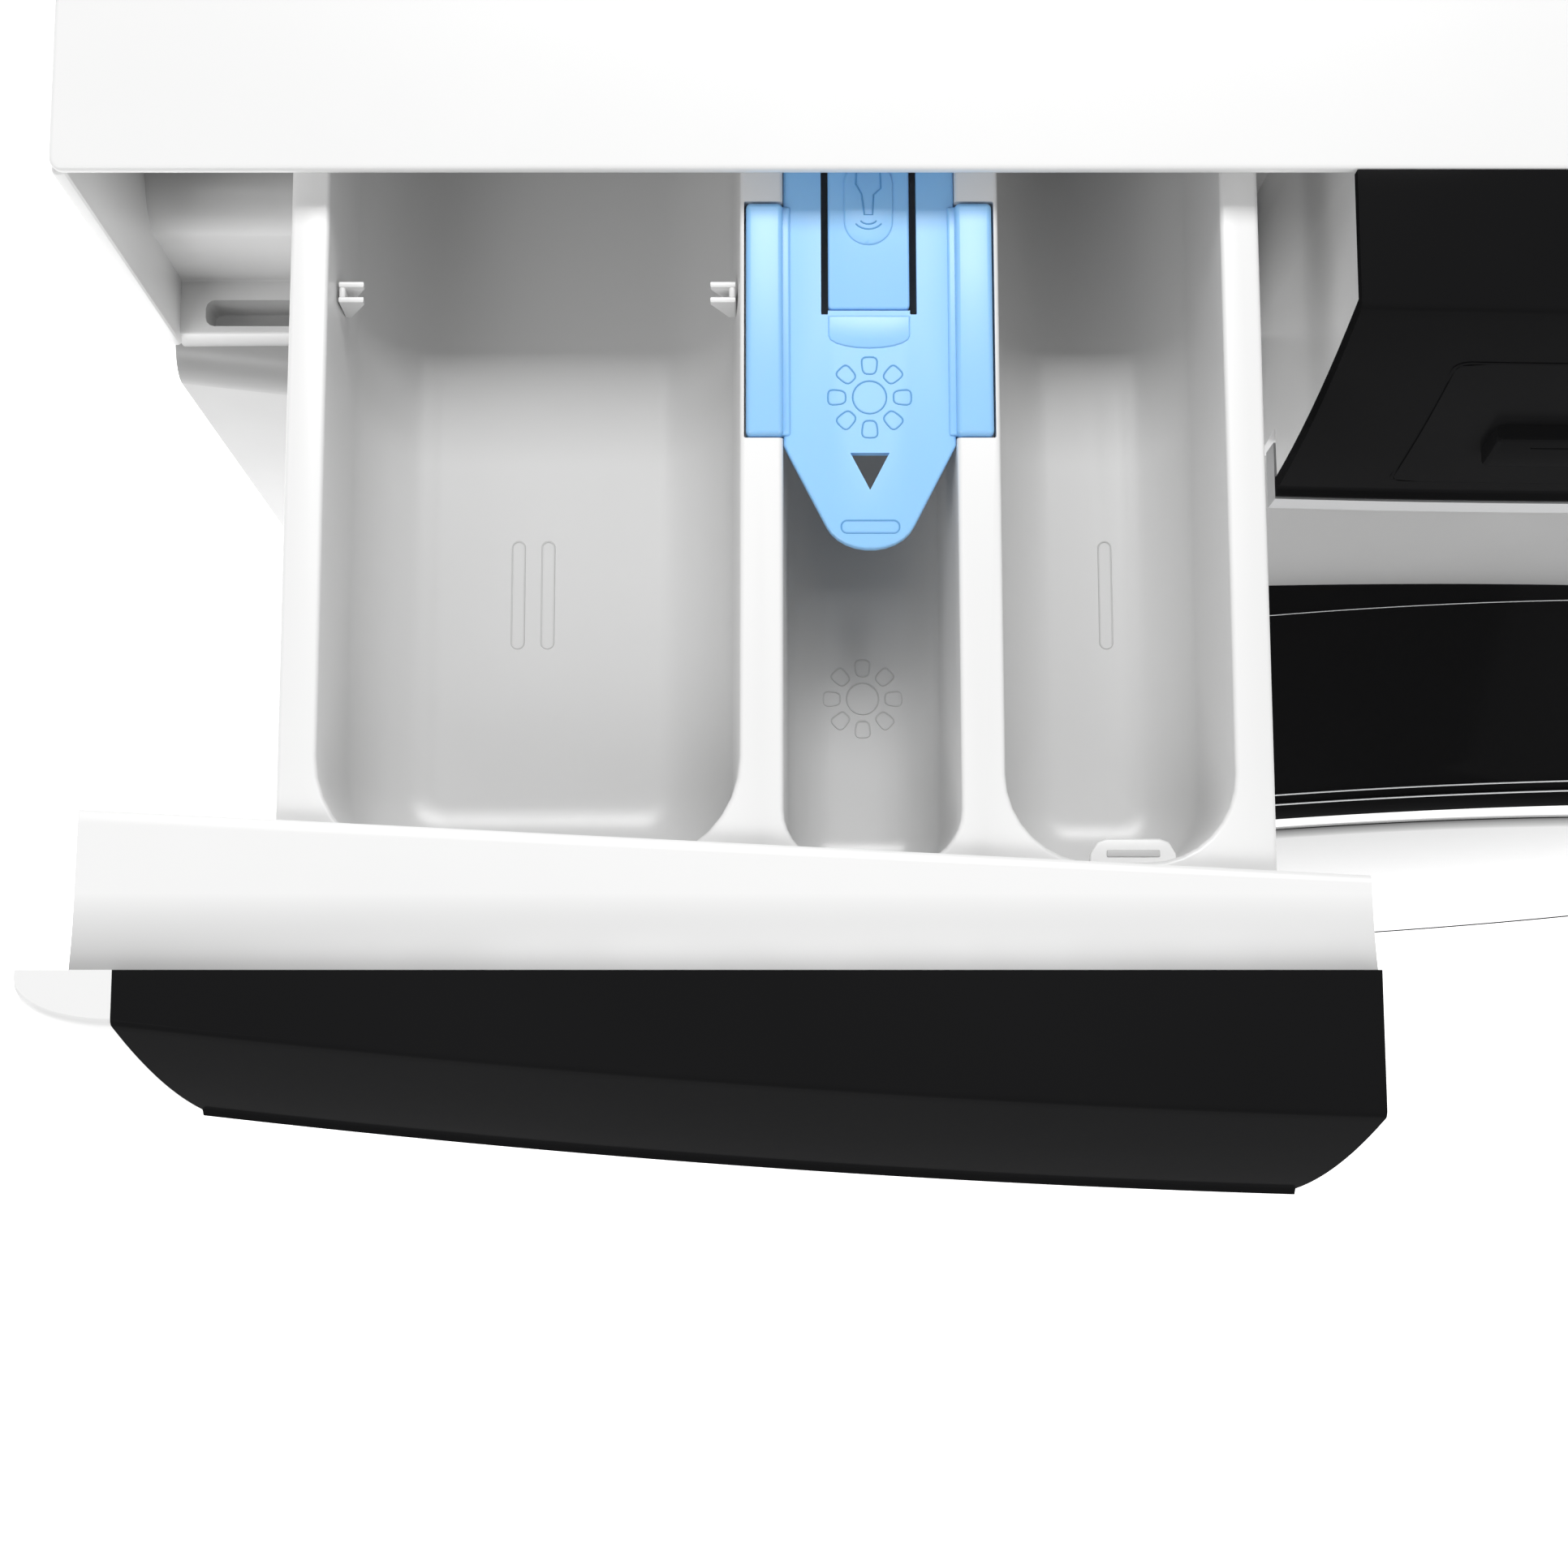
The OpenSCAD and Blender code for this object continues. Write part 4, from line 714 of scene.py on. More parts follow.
class WASHER_OT_insert(bpy.types.Operator):
    """Softener insert: a blue cover with two wings, a pointed tip, a siphon cap and a springy tongue."""

    bl_idname = "washer.insert"
    bl_label = "Softener insert"

    def execute(self, context):
        top = TRAY_HIGH[2] - 1.3
        half = (SOFTENER[1] - SOFTENER[0]) / 2 - 0.1
        tongue_w, tongue_y0, tongue_y1 = 7.1, TRAVEL - 21.6, TRAVEL + 35.0
        back, front, tip = WELL_Y1 - 5, TRAVEL - 46.0, TRAVEL - 64.4
        a = np.radians(np.linspace(200, 340, 12))
        nose = np.column_stack([7.6 * np.cos(a) / 0.94, tip + 6.2 + 6.2 * np.sin(a)])
        outline = np.concatenate([[(-half, back), (-half, front)], nose, [(half, front), (half, back)]])
        outline[:, 0] += SOFTENER_X
        skin = Skin()
        plate(skin, outline, top - 2, top, 0.5)
        # A slit on each side of the tongue, the tongue's own seat and the pointer are cut through
        cutters = []
        slit_y, seat_y = TRAVEL - 22.6, TRAVEL - 21.9
        for x, half_w, y in ((-7.75, 0.6, slit_y), (7.75, 0.6, slit_y), (0, 7.2, seat_y)):
            low = (SOFTENER_X + x - half_w, y, top - 6)
            high = (SOFTENER_X + x + half_w, tongue_y1 + 1.2, top + 4)
            cutters.append(block(Skin(), low, high, 0.2))
        pointer = Skin()
        triangle = np.array([(-3.4, 2.0), (0, -4.6), (3.4, 2.0)]) + [SOFTENER_X, tip + 15]
        plate(pointer, triangle, top - 6, top + 4, 0.1)
        cutters.append(pointer)
        piece("insert_cover", skin, "drawer", "blue_plastic", insert_blue(), ["siphon_insert"], drawer=True,
              cutters=cutters)
        trim = Skin()
        for side in (-1, 1):
            wing = SOFTENER_X + side * (half + 0.1)
            a, b = sorted((wing, wing + side * WING_W))
            block(trim, (a, WING_Y0, TRAY_HIGH[2] - 4.9), (b, WING_Y1, TRAY_HIGH[2] + 0.6), 0.9)
            a, b = sorted((wing - side * 1.3, wing + side * 0.8))
            block(trim, (a, WING_Y0 + 0.3, top - 2), (b, WING_Y1 - 0.3, top + 0.5), 0.45)
        # The raised shoulder in front of the tongue, its symbol and the plain level bar on the tip
        c, s = arc(180, 360, 10)
        shoulder = np.concatenate([
            [(-tongue_w, TRAVEL - 22.9)],
            np.column_stack([tongue_w * c, TRAVEL - 26.5 + 2.2 * s]),
            [(tongue_w, TRAVEL - 22.9)],
        ])
        shoulder[:, 0] += SOFTENER_X
        plate(trim, shoulder, top - 0.4, top + 0.35, 0.3)
        lines = Skin()
        flower(lines, SOFTENER_X, TRAVEL - 37.5, top, 7.3, 0.15)
        bar = loop(SOFTENER_X - 5, SOFTENER_X + 5, TRAVEL - 61.6, TRAVEL - 59.4, 1.0)
        tube(lines, at_height(bar, top), 0.15, sides=5, closed=True)
        piece("insert_lines", lines, "drawer", "blue_plastic", mark_blue(), drawer=True)
        post(trim, SOFTENER_X, back - 18, [(9, top - 20), (9, top - 3), (8.2, top - 2)])
        piece("insert_trim", trim, "drawer", "blue_plastic", insert_blue(), drawer=True)

        tongue = Skin()
        flat = loop(SOFTENER_X - tongue_w, SOFTENER_X + tongue_w, tongue_y0, tongue_y1, 0.8)
        plate(tongue, flat, top - 2, top, 0.45)
        plate(tongue, stadium(SOFTENER_X, TRAVEL - 2.3, 8.6, 15.4), top - 0.5, top + 0.4, 0.35)
        # A pressing finger and the ripple under it
        finger = [(-2.0, 6.0), (-2.2, 2.4), (-1.2, 0.6), (-0.7, -3.2), (0.7, -3.2), (0.9, 0.4), (2.2, 1.6),
                  (2.0, 6.0)]
        finger = np.array(finger) + [SOFTENER_X, TRAVEL - 1.4]
        lines = Skin()
        tube(lines, at_height(finger, top + 0.4), 0.16, sides=5, closed=True)
        for r in (1.4, 2.3):
            a = np.radians(np.linspace(215, 325, 9))
            wave = np.column_stack([SOFTENER_X + r * np.cos(a) * 1.2, TRAVEL - 4.9 + r * np.sin(a)])
            tube(lines, at_height(wave, top + 0.4), 0.15, sides=5)
        block(tongue, (SOFTENER_X - tongue_w, tongue_y1 - 6, top - 8),
              (SOFTENER_X + tongue_w, tongue_y1, top - 1), 0.6)
        piece("tongue_lines", lines, "release_tongue", "blue_plastic", mark_blue(), drawer=True)
        piece("tongue", tongue, "release_tongue", "blue_plastic", insert_blue(), ["release_tongue"],
              drawer=True)
        return {"FINISHED"}


def fascia_section(yb, wall=2.8, height=FASCIA_H, lip=1.0, e=1.1):
    """Section of a fascia: a level top, a rounded ridge, the leaning face, a small lip and the inner wall."""
    c, s = arc(90, 0, 5)
    out = [(0, yb, 0.0)] + [(1, e * (1 - co), e * (1 - si)) for co, si in zip(c, s)]
    out += [(1, 0, d) for d in np.linspace(e, height - 2.2, 26)[1:]]
    out += [(1, -lip * 0.6, height - 1.5), (1, -lip, height - 1.1), (1, -lip, height - 0.3),
            (1, 0.3 - lip, height)]
    out += [(1, wall, height), (1, wall + 0.3, height - 0.5)]
    out += [(1, wall, d) for d in np.linspace(height - 1.2, wall, 10)]
    return out + [(0, yb, 2.5)]


def white_end(skin, side, yb, n=14):
    """The rounded white end beside a fascia: each plan section runs from the machine's side, where it
    stands back, to the fascia's own front, along a quarter ellipse."""
    d = np.concatenate([[0.0, 0.3, 0.8, 1.8, 4, 8], np.linspace(12.4, FASCIA_H, 18)])
    edge = np.interp(d, [0, 0.3, 1.8, 12.4, 31.3, 57, 88], [1.9, 2.7, 3.5, 5.4, 7.7, 9.0, 9.4])
    inner = ridge_at(END_X) + lean_at(d) - 0.9 * np.exp(-d / 0.5)
    turn = np.linspace(0, 1, n) * math.pi / 2
    x = side * (HALF - 0.02 - (HALF - 0.02 - END_X) * (1 - np.cos(turn)))
    forward = edge[None, :] + (inner - edge)[None, :] * np.sin(turn)[:, None]
    back = np.full((n, 1), yb)
    return crosswise(skin, x, np.concatenate([back, -forward, back], 1),
                     TOP - np.concatenate([[0.0], d, [FASCIA_H]]))


class WASHER_OT_drawer_front(bpy.types.Operator):
    """Drawer front: the glossy black fascia, its white cap and rounded end, and the web to the tray."""

    bl_idname = "washer.drawer_front"
    bl_label = "Drawer front"

    def execute(self, context):
        xs = np.linspace(-END_X, DRAWER_X, 60)
        skin = Skin()
        front_sweep(skin, fascia_section(-0.6), xs)
        piece("drawer_fascia_skin", skin, "drawer", "black_gloss", gloss_black(), ["drawer_fascia"],
              drawer=True,
              sharp=24)
        end = Skin()
        white_end(end, -1, -0.6)
        piece("drawer_end", end, "drawer", "white_plastic", white_plastic(), drawer=True, sharp=26)
        white = Skin()
        # Cap: a slightly hollow shelf that climbs to the fascia's back edge
        x = np.linspace(-HALF + 8.3, DRAWER_X - 0.1, 40)
        t = np.concatenate([np.linspace(0, 0.5, 20) ** 1.3, np.linspace(0.45, 1, 14)])
        back = np.interp(x, [x[0], x[-1]], [26.7, 15.6])
        y = -0.55 + (back[:, None] + 0.55) * t[None, :]
        near = np.clip(1 - (y + 0.55) / 12.5, 0, 1)
        climb = np.clip(1 - (y + 0.55) / (back[:, None] + 0.55), 0, 1)
        z = TOP - 5.5 + 1.3 * climb + 1.4 * near**2.2
        z = z - 0.35 * np.clip((t - 0.97) / 0.03, 0, 1)[None, :]
        under = np.full(y.shape, TOP - 7.0)
        crosswise(white, x, np.concatenate([y, y[:, ::-1]], 1), np.concatenate([z, under], 1))
        # Backing behind the fascia, web and side webs
        foot = FASCIA_H - 0.2
        inner = [(1, 2.9, 2.7), (1, 2.9, foot), (1, 4.9, foot), (1, 4.9, 6.0), (0, -0.7, 6.0), (0, -0.7, 2.7)]
        section = []
        for p, q in zip(inner, inner[1:] + inner[:1]):
            n = 16 if abs(p[2] - q[2]) > 20 else 1
            section += [tuple(np.array(p) + (np.array(q) - np.array(p)) * k / n) for k in range(n)]
        front_sweep(white, section, np.linspace(-END_X + 0.1, DRAWER_X - 0.1, 40))
        block(white, (TRAY_LOW[0], TRAY_Y - 3, TRAY_LOW[2]), (TRAY_HIGH[0], TRAY_Y, TOP - 6.0), 0.4)
        for x in (TRAY_LOW[0], TRAY_HIGH[0] - 3):
            reach = float(ridge_at(x)) - 6
            block(white, (x, -reach, TRAY_LOW[2]), (x + 3, TRAY_Y - 2.8, TOP - 6.0), 0.4)
        # The shell's finish carries painted shade, greyer towards the fascia
        piece("drawer_front_shell", white, "drawer", "white_plastic", cap_painted_shade(), ["drawer_front"],
              drawer=True,
              sharp=26)
        return {"FINISHED"}


# ---- Cabinet ----


class WASHER_OT_worktop(bpy.types.Operator):
    """Worktop: a thin white slab with softly rounded edges, its skirt and stiffening ribs."""

    bl_idname = "washer.worktop"
    bl_label = "Worktop"

    def execute(self, context):
        skin = Skin()
        skin.grid(layers((-HALF, HALF, 0, DEPTH), 2.5, rounded(LIP_Z, TOP, 0.9, 4)), around=True, ends=True)
        for side in (-1, 1):
            a, b = sorted((side * (HALF - 12), side * HALF))
            block(skin, (a, BAY_Y, SKIRT_Z), (b, DEPTH, LIP_Z + 0.5), 0.8)
        block(skin, (-HALF + 11, DEPTH - 12, SKIRT_Z), (HALF - 11, DEPTH, LIP_Z + 0.5), 0.8)
        for y in (150, 270, 390):
            block(skin, (DRAWER_X + 20, y, LIP_Z - 10), (HALF - 12, y + 8, LIP_Z + 0.5), 0.8)
        piece("worktop_skin", skin, "cabinet", "white_plastic", white_plastic(), ["worktop"])
        return {"FINISHED"}


class WASHER_OT_surround(bpy.types.Operator):
    """Surround: the white frame round the drawer bay, its stepped pocket and slotted ledge, and the
    rounded end on the right."""

    bl_idname = "washer.surround"
    bl_label = "Surround frame"

    def execute(self, context):
        skin = Skin()
        wall = 2.8
        for side in (-1, 1):
            a, b = sorted((side * HALF, side * (HALF - wall)))
            block(skin, (a, 0, LEDGE_Z), (b, 31, LIP_Z), 0.9)
        gap_x0, gap_x1 = TRAY_LOW[0] - 3, TRAY_HIGH[0] + 3
        z_low, z_high = TRAY_LOW[2] - 5, TRAY_HIGH[2] + 4
        block(skin, (-HALF + 0.5, 30, LEDGE_Z), (gap_x0, BAY_Y, LIP_Z), 0.4)
        block(skin, (gap_x1, 30, LEDGE_Z), (HALF - 0.5, BAY_Y, LIP_Z), 0.4)
        block(skin, (gap_x0 - 0.5, 30, LEDGE_Z), (gap_x1 + 0.5, BAY_Y, z_low), 0.4)
        block(skin, (gap_x0 - 0.5, 30, z_high), (gap_x1 + 0.5, BAY_Y, LIP_Z), 0.4)
        # Pocket beside the tray: a vertical face, rolled over to a level step, with the ledge below it
        c, s = arc(180, 90, 10)
        step_r, step_z = 11.0, TOP - 63.5
        roll = [(13.3 + step_r + step_r * co, step_z - step_r + step_r * si) for co, si in zip(c, s)]
        outline = [(30.5, LEDGE_Z + 2.6), (12.6, LEDGE_Z + 2.6), (13.1, LEDGE_Z + 3.2), (13.3, LEDGE_Z + 4),
                   *roll, (30.5, step_z)]
        y, z = np.array(outline).T
        crosswise(skin, np.array([-HALF + 1.4, gap_x0 - 0.3]), np.stack([y, y]), z)
        shelf = Skin()
        block(shelf, (-HALF + 1.4, 1.8, LEDGE_Z - 9), (gap_x0 + 0.5, 30.5, LEDGE_Z + 3), 0.7)
        block(skin, (gap_x0, 1.8, LEDGE_Z), (PANEL_X0 + 1, 30.5, LEDGE_Z + 3), 0.6)
        block(skin, (PANEL_X1 - 2, 4, LEDGE_Z), (HALF - 1.5, 30.5, LEDGE_Z + 3), 0.6)
        block(skin, (PANEL_X0, 4, LEDGE_Z), (PANEL_X1, 30.5, LEDGE_Z + 3), 0.6)
        # Wall that closes the control panel's left end
        side_wall = [(1, 3.2, 2.8)] + [(1, 3.2, d) for d in np.linspace(2.8, 84.0, 20)[1:]]
        side_wall += [(1, 13.0, FASCIA_H), (1, 13.0, 103.0), (0, 30.4, 103.0), (0, 30.4, 2.8)]
        front_sweep(skin, side_wall, [PANEL_X0 + 0.3, PANEL_X0 + 3.0])
        end = Skin()
        white_end(end, 1, 1.0)
        piece("surround_end", end, "cabinet", "white_plastic", white_plastic(), sharp=26)
        slot = Skin()
        block(slot, (-HALF + 8.0, 3.4, LEDGE_Z - 7.5), (gap_x0 - 3.0, 9.0, LEDGE_Z + 8), 0.4, r=1.8)
        # The shell and the shelf carry painted shade, greyer towards the back of the drawer bay
        piece("surround_shell", skin, "cabinet", "white_plastic", surround_painted_shade(), ["surround_frame"],
              sharp=28)
        piece("surround_shelf", shelf, "cabinet", "white_plastic", surround_painted_shade(), sharp=28, cutters=[slot])
        return {"FINISHED"}


class WASHER_OT_control_panel(bpy.types.Operator):
    """Control panel: black fascia, inlay film, three push keys, programme knob, start button and trim."""

    bl_idname = "washer.control_panel"
    bl_label = "Control panel"

    def execute(self, context):
        skin = Skin()
        front_sweep(skin, fascia_section(0.0), np.linspace(PANEL_X0, PANEL_X1, 80))
        piece("control_fascia", skin, "cabinet", "black_gloss", gloss_black(), ["control_panel"], sharp=24)
        # Inlay: a thin film with rounded corners that follows the front, a hair proud of its rebate
        x0, x1, d0, d1 = PANEL_X0 + 20.2, PANEL_X1 - 20, INLAY_D0, INLAY_D1
        film = Skin()
        rows = []
        for inset, out in ((0.9, -0.3), (0.35, -0.3), (0.0, 0.12), (0.25, 0.22), (0.6, 0.24)):
            flat = loop(x0 + inset, x1 - inset, d0 + inset, d1 - inset, 3.0 - inset, 8,
                        extra=np.linspace(x0 + 8, x1 - 8, 46))
            rows.append(on_front(*flat.T, out))
        film.grid(np.array(rows), around=True)
        # The film's face: a grid whose points beyond a corner's arc are drawn back onto it
        edge, corner = 0.6, 2.4
        u = np.linspace(x0 + edge, x1 - edge, 60)
        v = np.linspace(d0 + edge, d1 - edge, 24)
        u, v = np.meshgrid(u, v, indexing="ij")
        du = np.maximum(np.maximum(x0 + edge + corner - u, u - x1 + edge + corner), 0)
        dv = np.maximum(np.maximum(d0 + edge + corner - v, v - d1 + edge + corner), 0)
        far = np.hypot(du, dv)
        over = np.maximum(far - corner, 0) / np.maximum(far, 1e-6)
        u = u + np.where(u < (x0 + x1) / 2, 1, -1) * du * over
        v = v + np.where(v < (d0 + d1) / 2, 1, -1) * dv * over
        film.grid(on_front(u, v, 0.24))
        piece("inlay_film", film, "cabinet", "black_gloss", film_black(), ["panel_inlay"], sharp=40)
        # Trim strip under the fascia
        t0, t1 = FASCIA_H + 1, FASCIA_H + 9.2
        lean = float(lean_at(FASCIA_H)) + 1.1
        strip = Skin()
        x = np.linspace(PANEL_X0 + 0.1, PANEL_X1, 80)
        section = [(0.0, t0), (0.0, t0 + 0.5), (0.0, t1 - 0.5), (0.5, t1), (11.5, t1), (11.5, t0), (0.5, t0)]
        back, d = np.array(section).T
        crosswise(strip, x, -(ridge_at(x)[:, None] + lean) + back, TOP - d)
        piece("trim_strip", strip, "cabinet", "light_grey", trim_grey(), ["panel_trim"], sharp=40)
        # Push keys
        for i in range(3):
            key = Skin()
            kx = PANEL_X0 + 34 + 24 * i
            rows = []
            for inset, out in ((0, -6.0), (0, 2.3), (0.25, 2.9), (0.9, 3.2)):
                flat = loop(kx + inset, kx + 22 - inset, 44.2 + inset, 58 - inset, 1.4 - inset, 5)
                rows.append(on_front(*flat.T, out))
            key.grid(np.array(rows), around=True, ends=True)
            tube(key, on_front(np.linspace(kx + 7, kx + 15, 6), np.full(6, 48.0), 3.15), 0.22, sides=6)
            piece(f"key_{i + 1}", key, f"push_key_{i + 1}", "black_gloss", gloss_black(),
                  [f"push_key_{i + 1}"])
        self.dials()
        return {"FINISHED"}

    def dials(self):
        """Knob and start button: profiles turned about the panel's outward normal."""
        knob = [(0, 1.2), (23, 1.2), (23, 3.4), (22.2, 4.2), (21.4, 4.3), (20.4, 9), (19.6, 13.6),
                (18.4, 14.8),
                (16.5, 15), (6, 14.6), (0, 14.6)]
        cap = [(0, -6), (11, -6), (11, 1.5), (10.4, 2.2), (9.4, 2.4), (5, 2.1), (0, 2.1)]
        a = np.linspace(0, 2 * math.pi, 144, endpoint=False)[None, :]

        r, h = (c[:, None] for c in np.array(knob).T)
        r = r - np.where((h > 4.25) & (h < 14), 0.35 * (1 + np.cos(36 * a)), 0)
        dial = Skin()
        dial.grid(self.on_normal(PANEL_X1 - 116, r * np.cos(a), r * np.sin(a), h), around=True)
        pointer = np.linspace(9, 16.5, 6)
        tube(dial, self.on_normal(PANEL_X1 - 116, 0 * pointer, pointer, 14.75), 0.7, sides=6)
        piece("programme_dial", dial, "programme_knob", "light_grey", trim_grey(), ["programme_knob"],
              sharp=28)

        r, h = (c[:, None] for c in np.array(cap).T)
        button = Skin()
        button.grid(self.on_normal(PANEL_X1 - 56, r * np.cos(a), r * np.sin(a), h), around=True)
        piece("start_cap", button, "start_button", "light_grey", silver(), ["start_button"], sharp=28)

    def on_normal(self, x, u, v, h):
        """Points about the panel's middle line at x: u runs along the panel, v up its face and h outwards.
        They are tilted back with the lean of the front and turned with its curve."""
        d = (INLAY_D0 + INLAY_D1) / 2
        tilt = math.atan(shape().lean - 2 * shape().lean_fade * d)
        turn = math.asin(x / shape().bulge_radius)
        forward = -h * math.cos(tilt) + v * math.sin(tilt)
        up = h * math.sin(tilt) + v * math.cos(tilt)
        across = u * math.cos(turn) - forward * math.sin(turn)
        along = u * math.sin(turn) + forward * math.cos(turn)
        return np.stack([x + across, along - float(ridge_at(x) + lean_at(d)), TOP - d + up], -1)


class WASHER_OT_lower_front(bpy.types.Operator):
    """Lower front panel with a rolled top and the round opening's collar, kick panel and service flap."""

    bl_idname = "washer.lower_front"
    bl_label = "Lower front"

    def execute(self, context):
        skin = Skin()
        top, low, r = TOP - 111.0, 100.0, 8.3
        # Sheet between the opening and its outline: each ray from the centre runs from circle to outline
        a = np.radians(np.arange(0, 360, 2.0))
        c, s = np.cos(a), np.sin(a)
        up, down, side = top - r - AXLE_Z, AXLE_Z - low, HALF
        with np.errstate(divide="ignore"):
            reach = np.minimum(side / np.abs(c), np.where(s > 0, up, down) / np.maximum(np.abs(s), 1e-9))
        for corner in ((side, up), (-side, up), (-side, -down), (side, -down)):
            k = np.argmin(np.abs(np.angle(np.exp(1j * (a - math.atan2(corner[1], corner[0]))))))
            c[k], s[k] = corner / np.hypot(*corner)
            reach[k] = np.hypot(*corner)
        rows = []
        for f, depth in ((0, 16.0), (0, 4.0), (0, 2.0), (0.0, 0.8), (0.004, 0.1), (0.012, 0.0)):
            rr = OPENING_R + f * 180
            rows.append(np.stack([rr * c, -panel_at(rr * c) + depth, AXLE_Z + rr * s], -1))
        for t in np.linspace(0, 1, 26)[1:]:
            rr = (OPENING_R + 2.2) * (1 - t) + reach * t
            rows.append(np.stack([rr * c, -panel_at(rr * c), AXLE_Z + rr * s], -1))
        outer = np.array(rows)
        inner = outer[::-1].copy()
        inner[..., 1] += 1.5
        radial = np.stack([c, 0 * c, s], -1)
        inner[-6:] += 1.5 * radial
        skin.grid(np.concatenate([outer, inner]), around=True, along=True)
        # Rolled top edge, from side to side
        x = np.linspace(-HALF, HALF, 90)
        cc, ss = arc(0, 90, 10)
        roll = [(r * co - r, r * si) for co, si in zip(cc, ss)]
        roll += [((r - 1.5) * co - r, (r - 1.5) * si) for co, si in zip(cc[::-1], ss[::-1])]
        y = -panel_at(x)[:, None] - np.array([p[0] for p in roll])[None, :]
        z = np.broadcast_to(np.array([top - r + p[1] for p in roll]), y.shape)
        flange = np.full((len(x), 2), 4.0)
        y = np.concatenate([y[:, :11], flange, y[:, 11:]], 1)
        z = np.concatenate([z[:, :11], flange * 0 + [top, top - 1.5], z[:, 11:]], 1)
        crosswise(skin, x, y, z)
        for side in (-1, 1):
            p, q = sorted((side * (HALF - 1.2), side * HALF))
            block(skin, (p, -float(panel_at(HALF)) + 0.4, low), (q, 8, top - r), 0.3)
        cut = Skin()
        block(cut, (CATCH_X0, -60, AXLE_Z - CATCH_H), (CATCH_X1, 20, AXLE_Z + CATCH_H), 0.5, r=2, axis=1)
        # The sheet's finish carries a painted shadow, greyer towards its top under the fascias
        piece("front_sheet", skin, "cabinet", "white_steel", front_painted_shadow(), ["front_panel"], sharp=34,
              cutters=[cut])
        self.kick()
        return {"FINISHED"}

    def kick(self):
        """Kick panel and flap: curved sheets, the flap with a finger slot, both with softened edges."""
        x0, x1 = (c.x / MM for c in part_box("service_flap"))
        z0, z1 = (c.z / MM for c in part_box("service_flap"))
        low, high, gap = SHEET_LOW, 98.0, 0.8
        around = [(-HALF, x0 - gap, low, high), (x1 + gap, HALF, low, high), (x0 - gap, x1 + gap, low, 22.0),
                  (x0 - gap, x1 + gap, z1 + gap, high)]
        for name, spans, body, stands in (
            ("kick_sheet", around, "cabinet", "kick_panel"),
            ("flap_sheet", [(x0, x1, z0, z1)], "service_flap", "service_flap"),
        ):
            skin = Skin()
            for a, b, za, zb in spans:
                x = np.linspace(a, b, 40)
                section = [(0.3, za), (0.0, za + 0.4), (0.0, zb - 0.4), (0.3, zb), (1.5, zb), (1.5, za)]
                back, z = np.array(section).T
                crosswise(skin, x, -panel_at(x)[:, None] + back, z)
            cutters = []
            if name == "flap_sheet":
                slot = Skin()
                mid = (x0 + x1) / 2
                block(slot, (mid - 15, -60, z1 - 5.5), (mid + 15, 10, z1 + 10), 0.5, r=3, axis=1)
                cutters.append(slot)
            piece(name, skin, body, "white_plastic", white_plastic(), [stands], sharp=34, cutters=cutters)


def embossed(u, v, centre, size, corner, bevel):
    """Depth, from 0 to 1, of a pressed panel: a rounded rectangle with a soft slope at its edge."""
    q = np.stack([np.abs(u - centre[0]) - size[0] / 2 + corner, np.abs(v - centre[1]) - size[1] / 2 + corner])
    far = np.hypot(np.maximum(q[0], 0), np.maximum(q[1], 0)) + np.minimum(np.maximum(q[0], q[1]), 0) - corner
    return eased(-far / bevel)


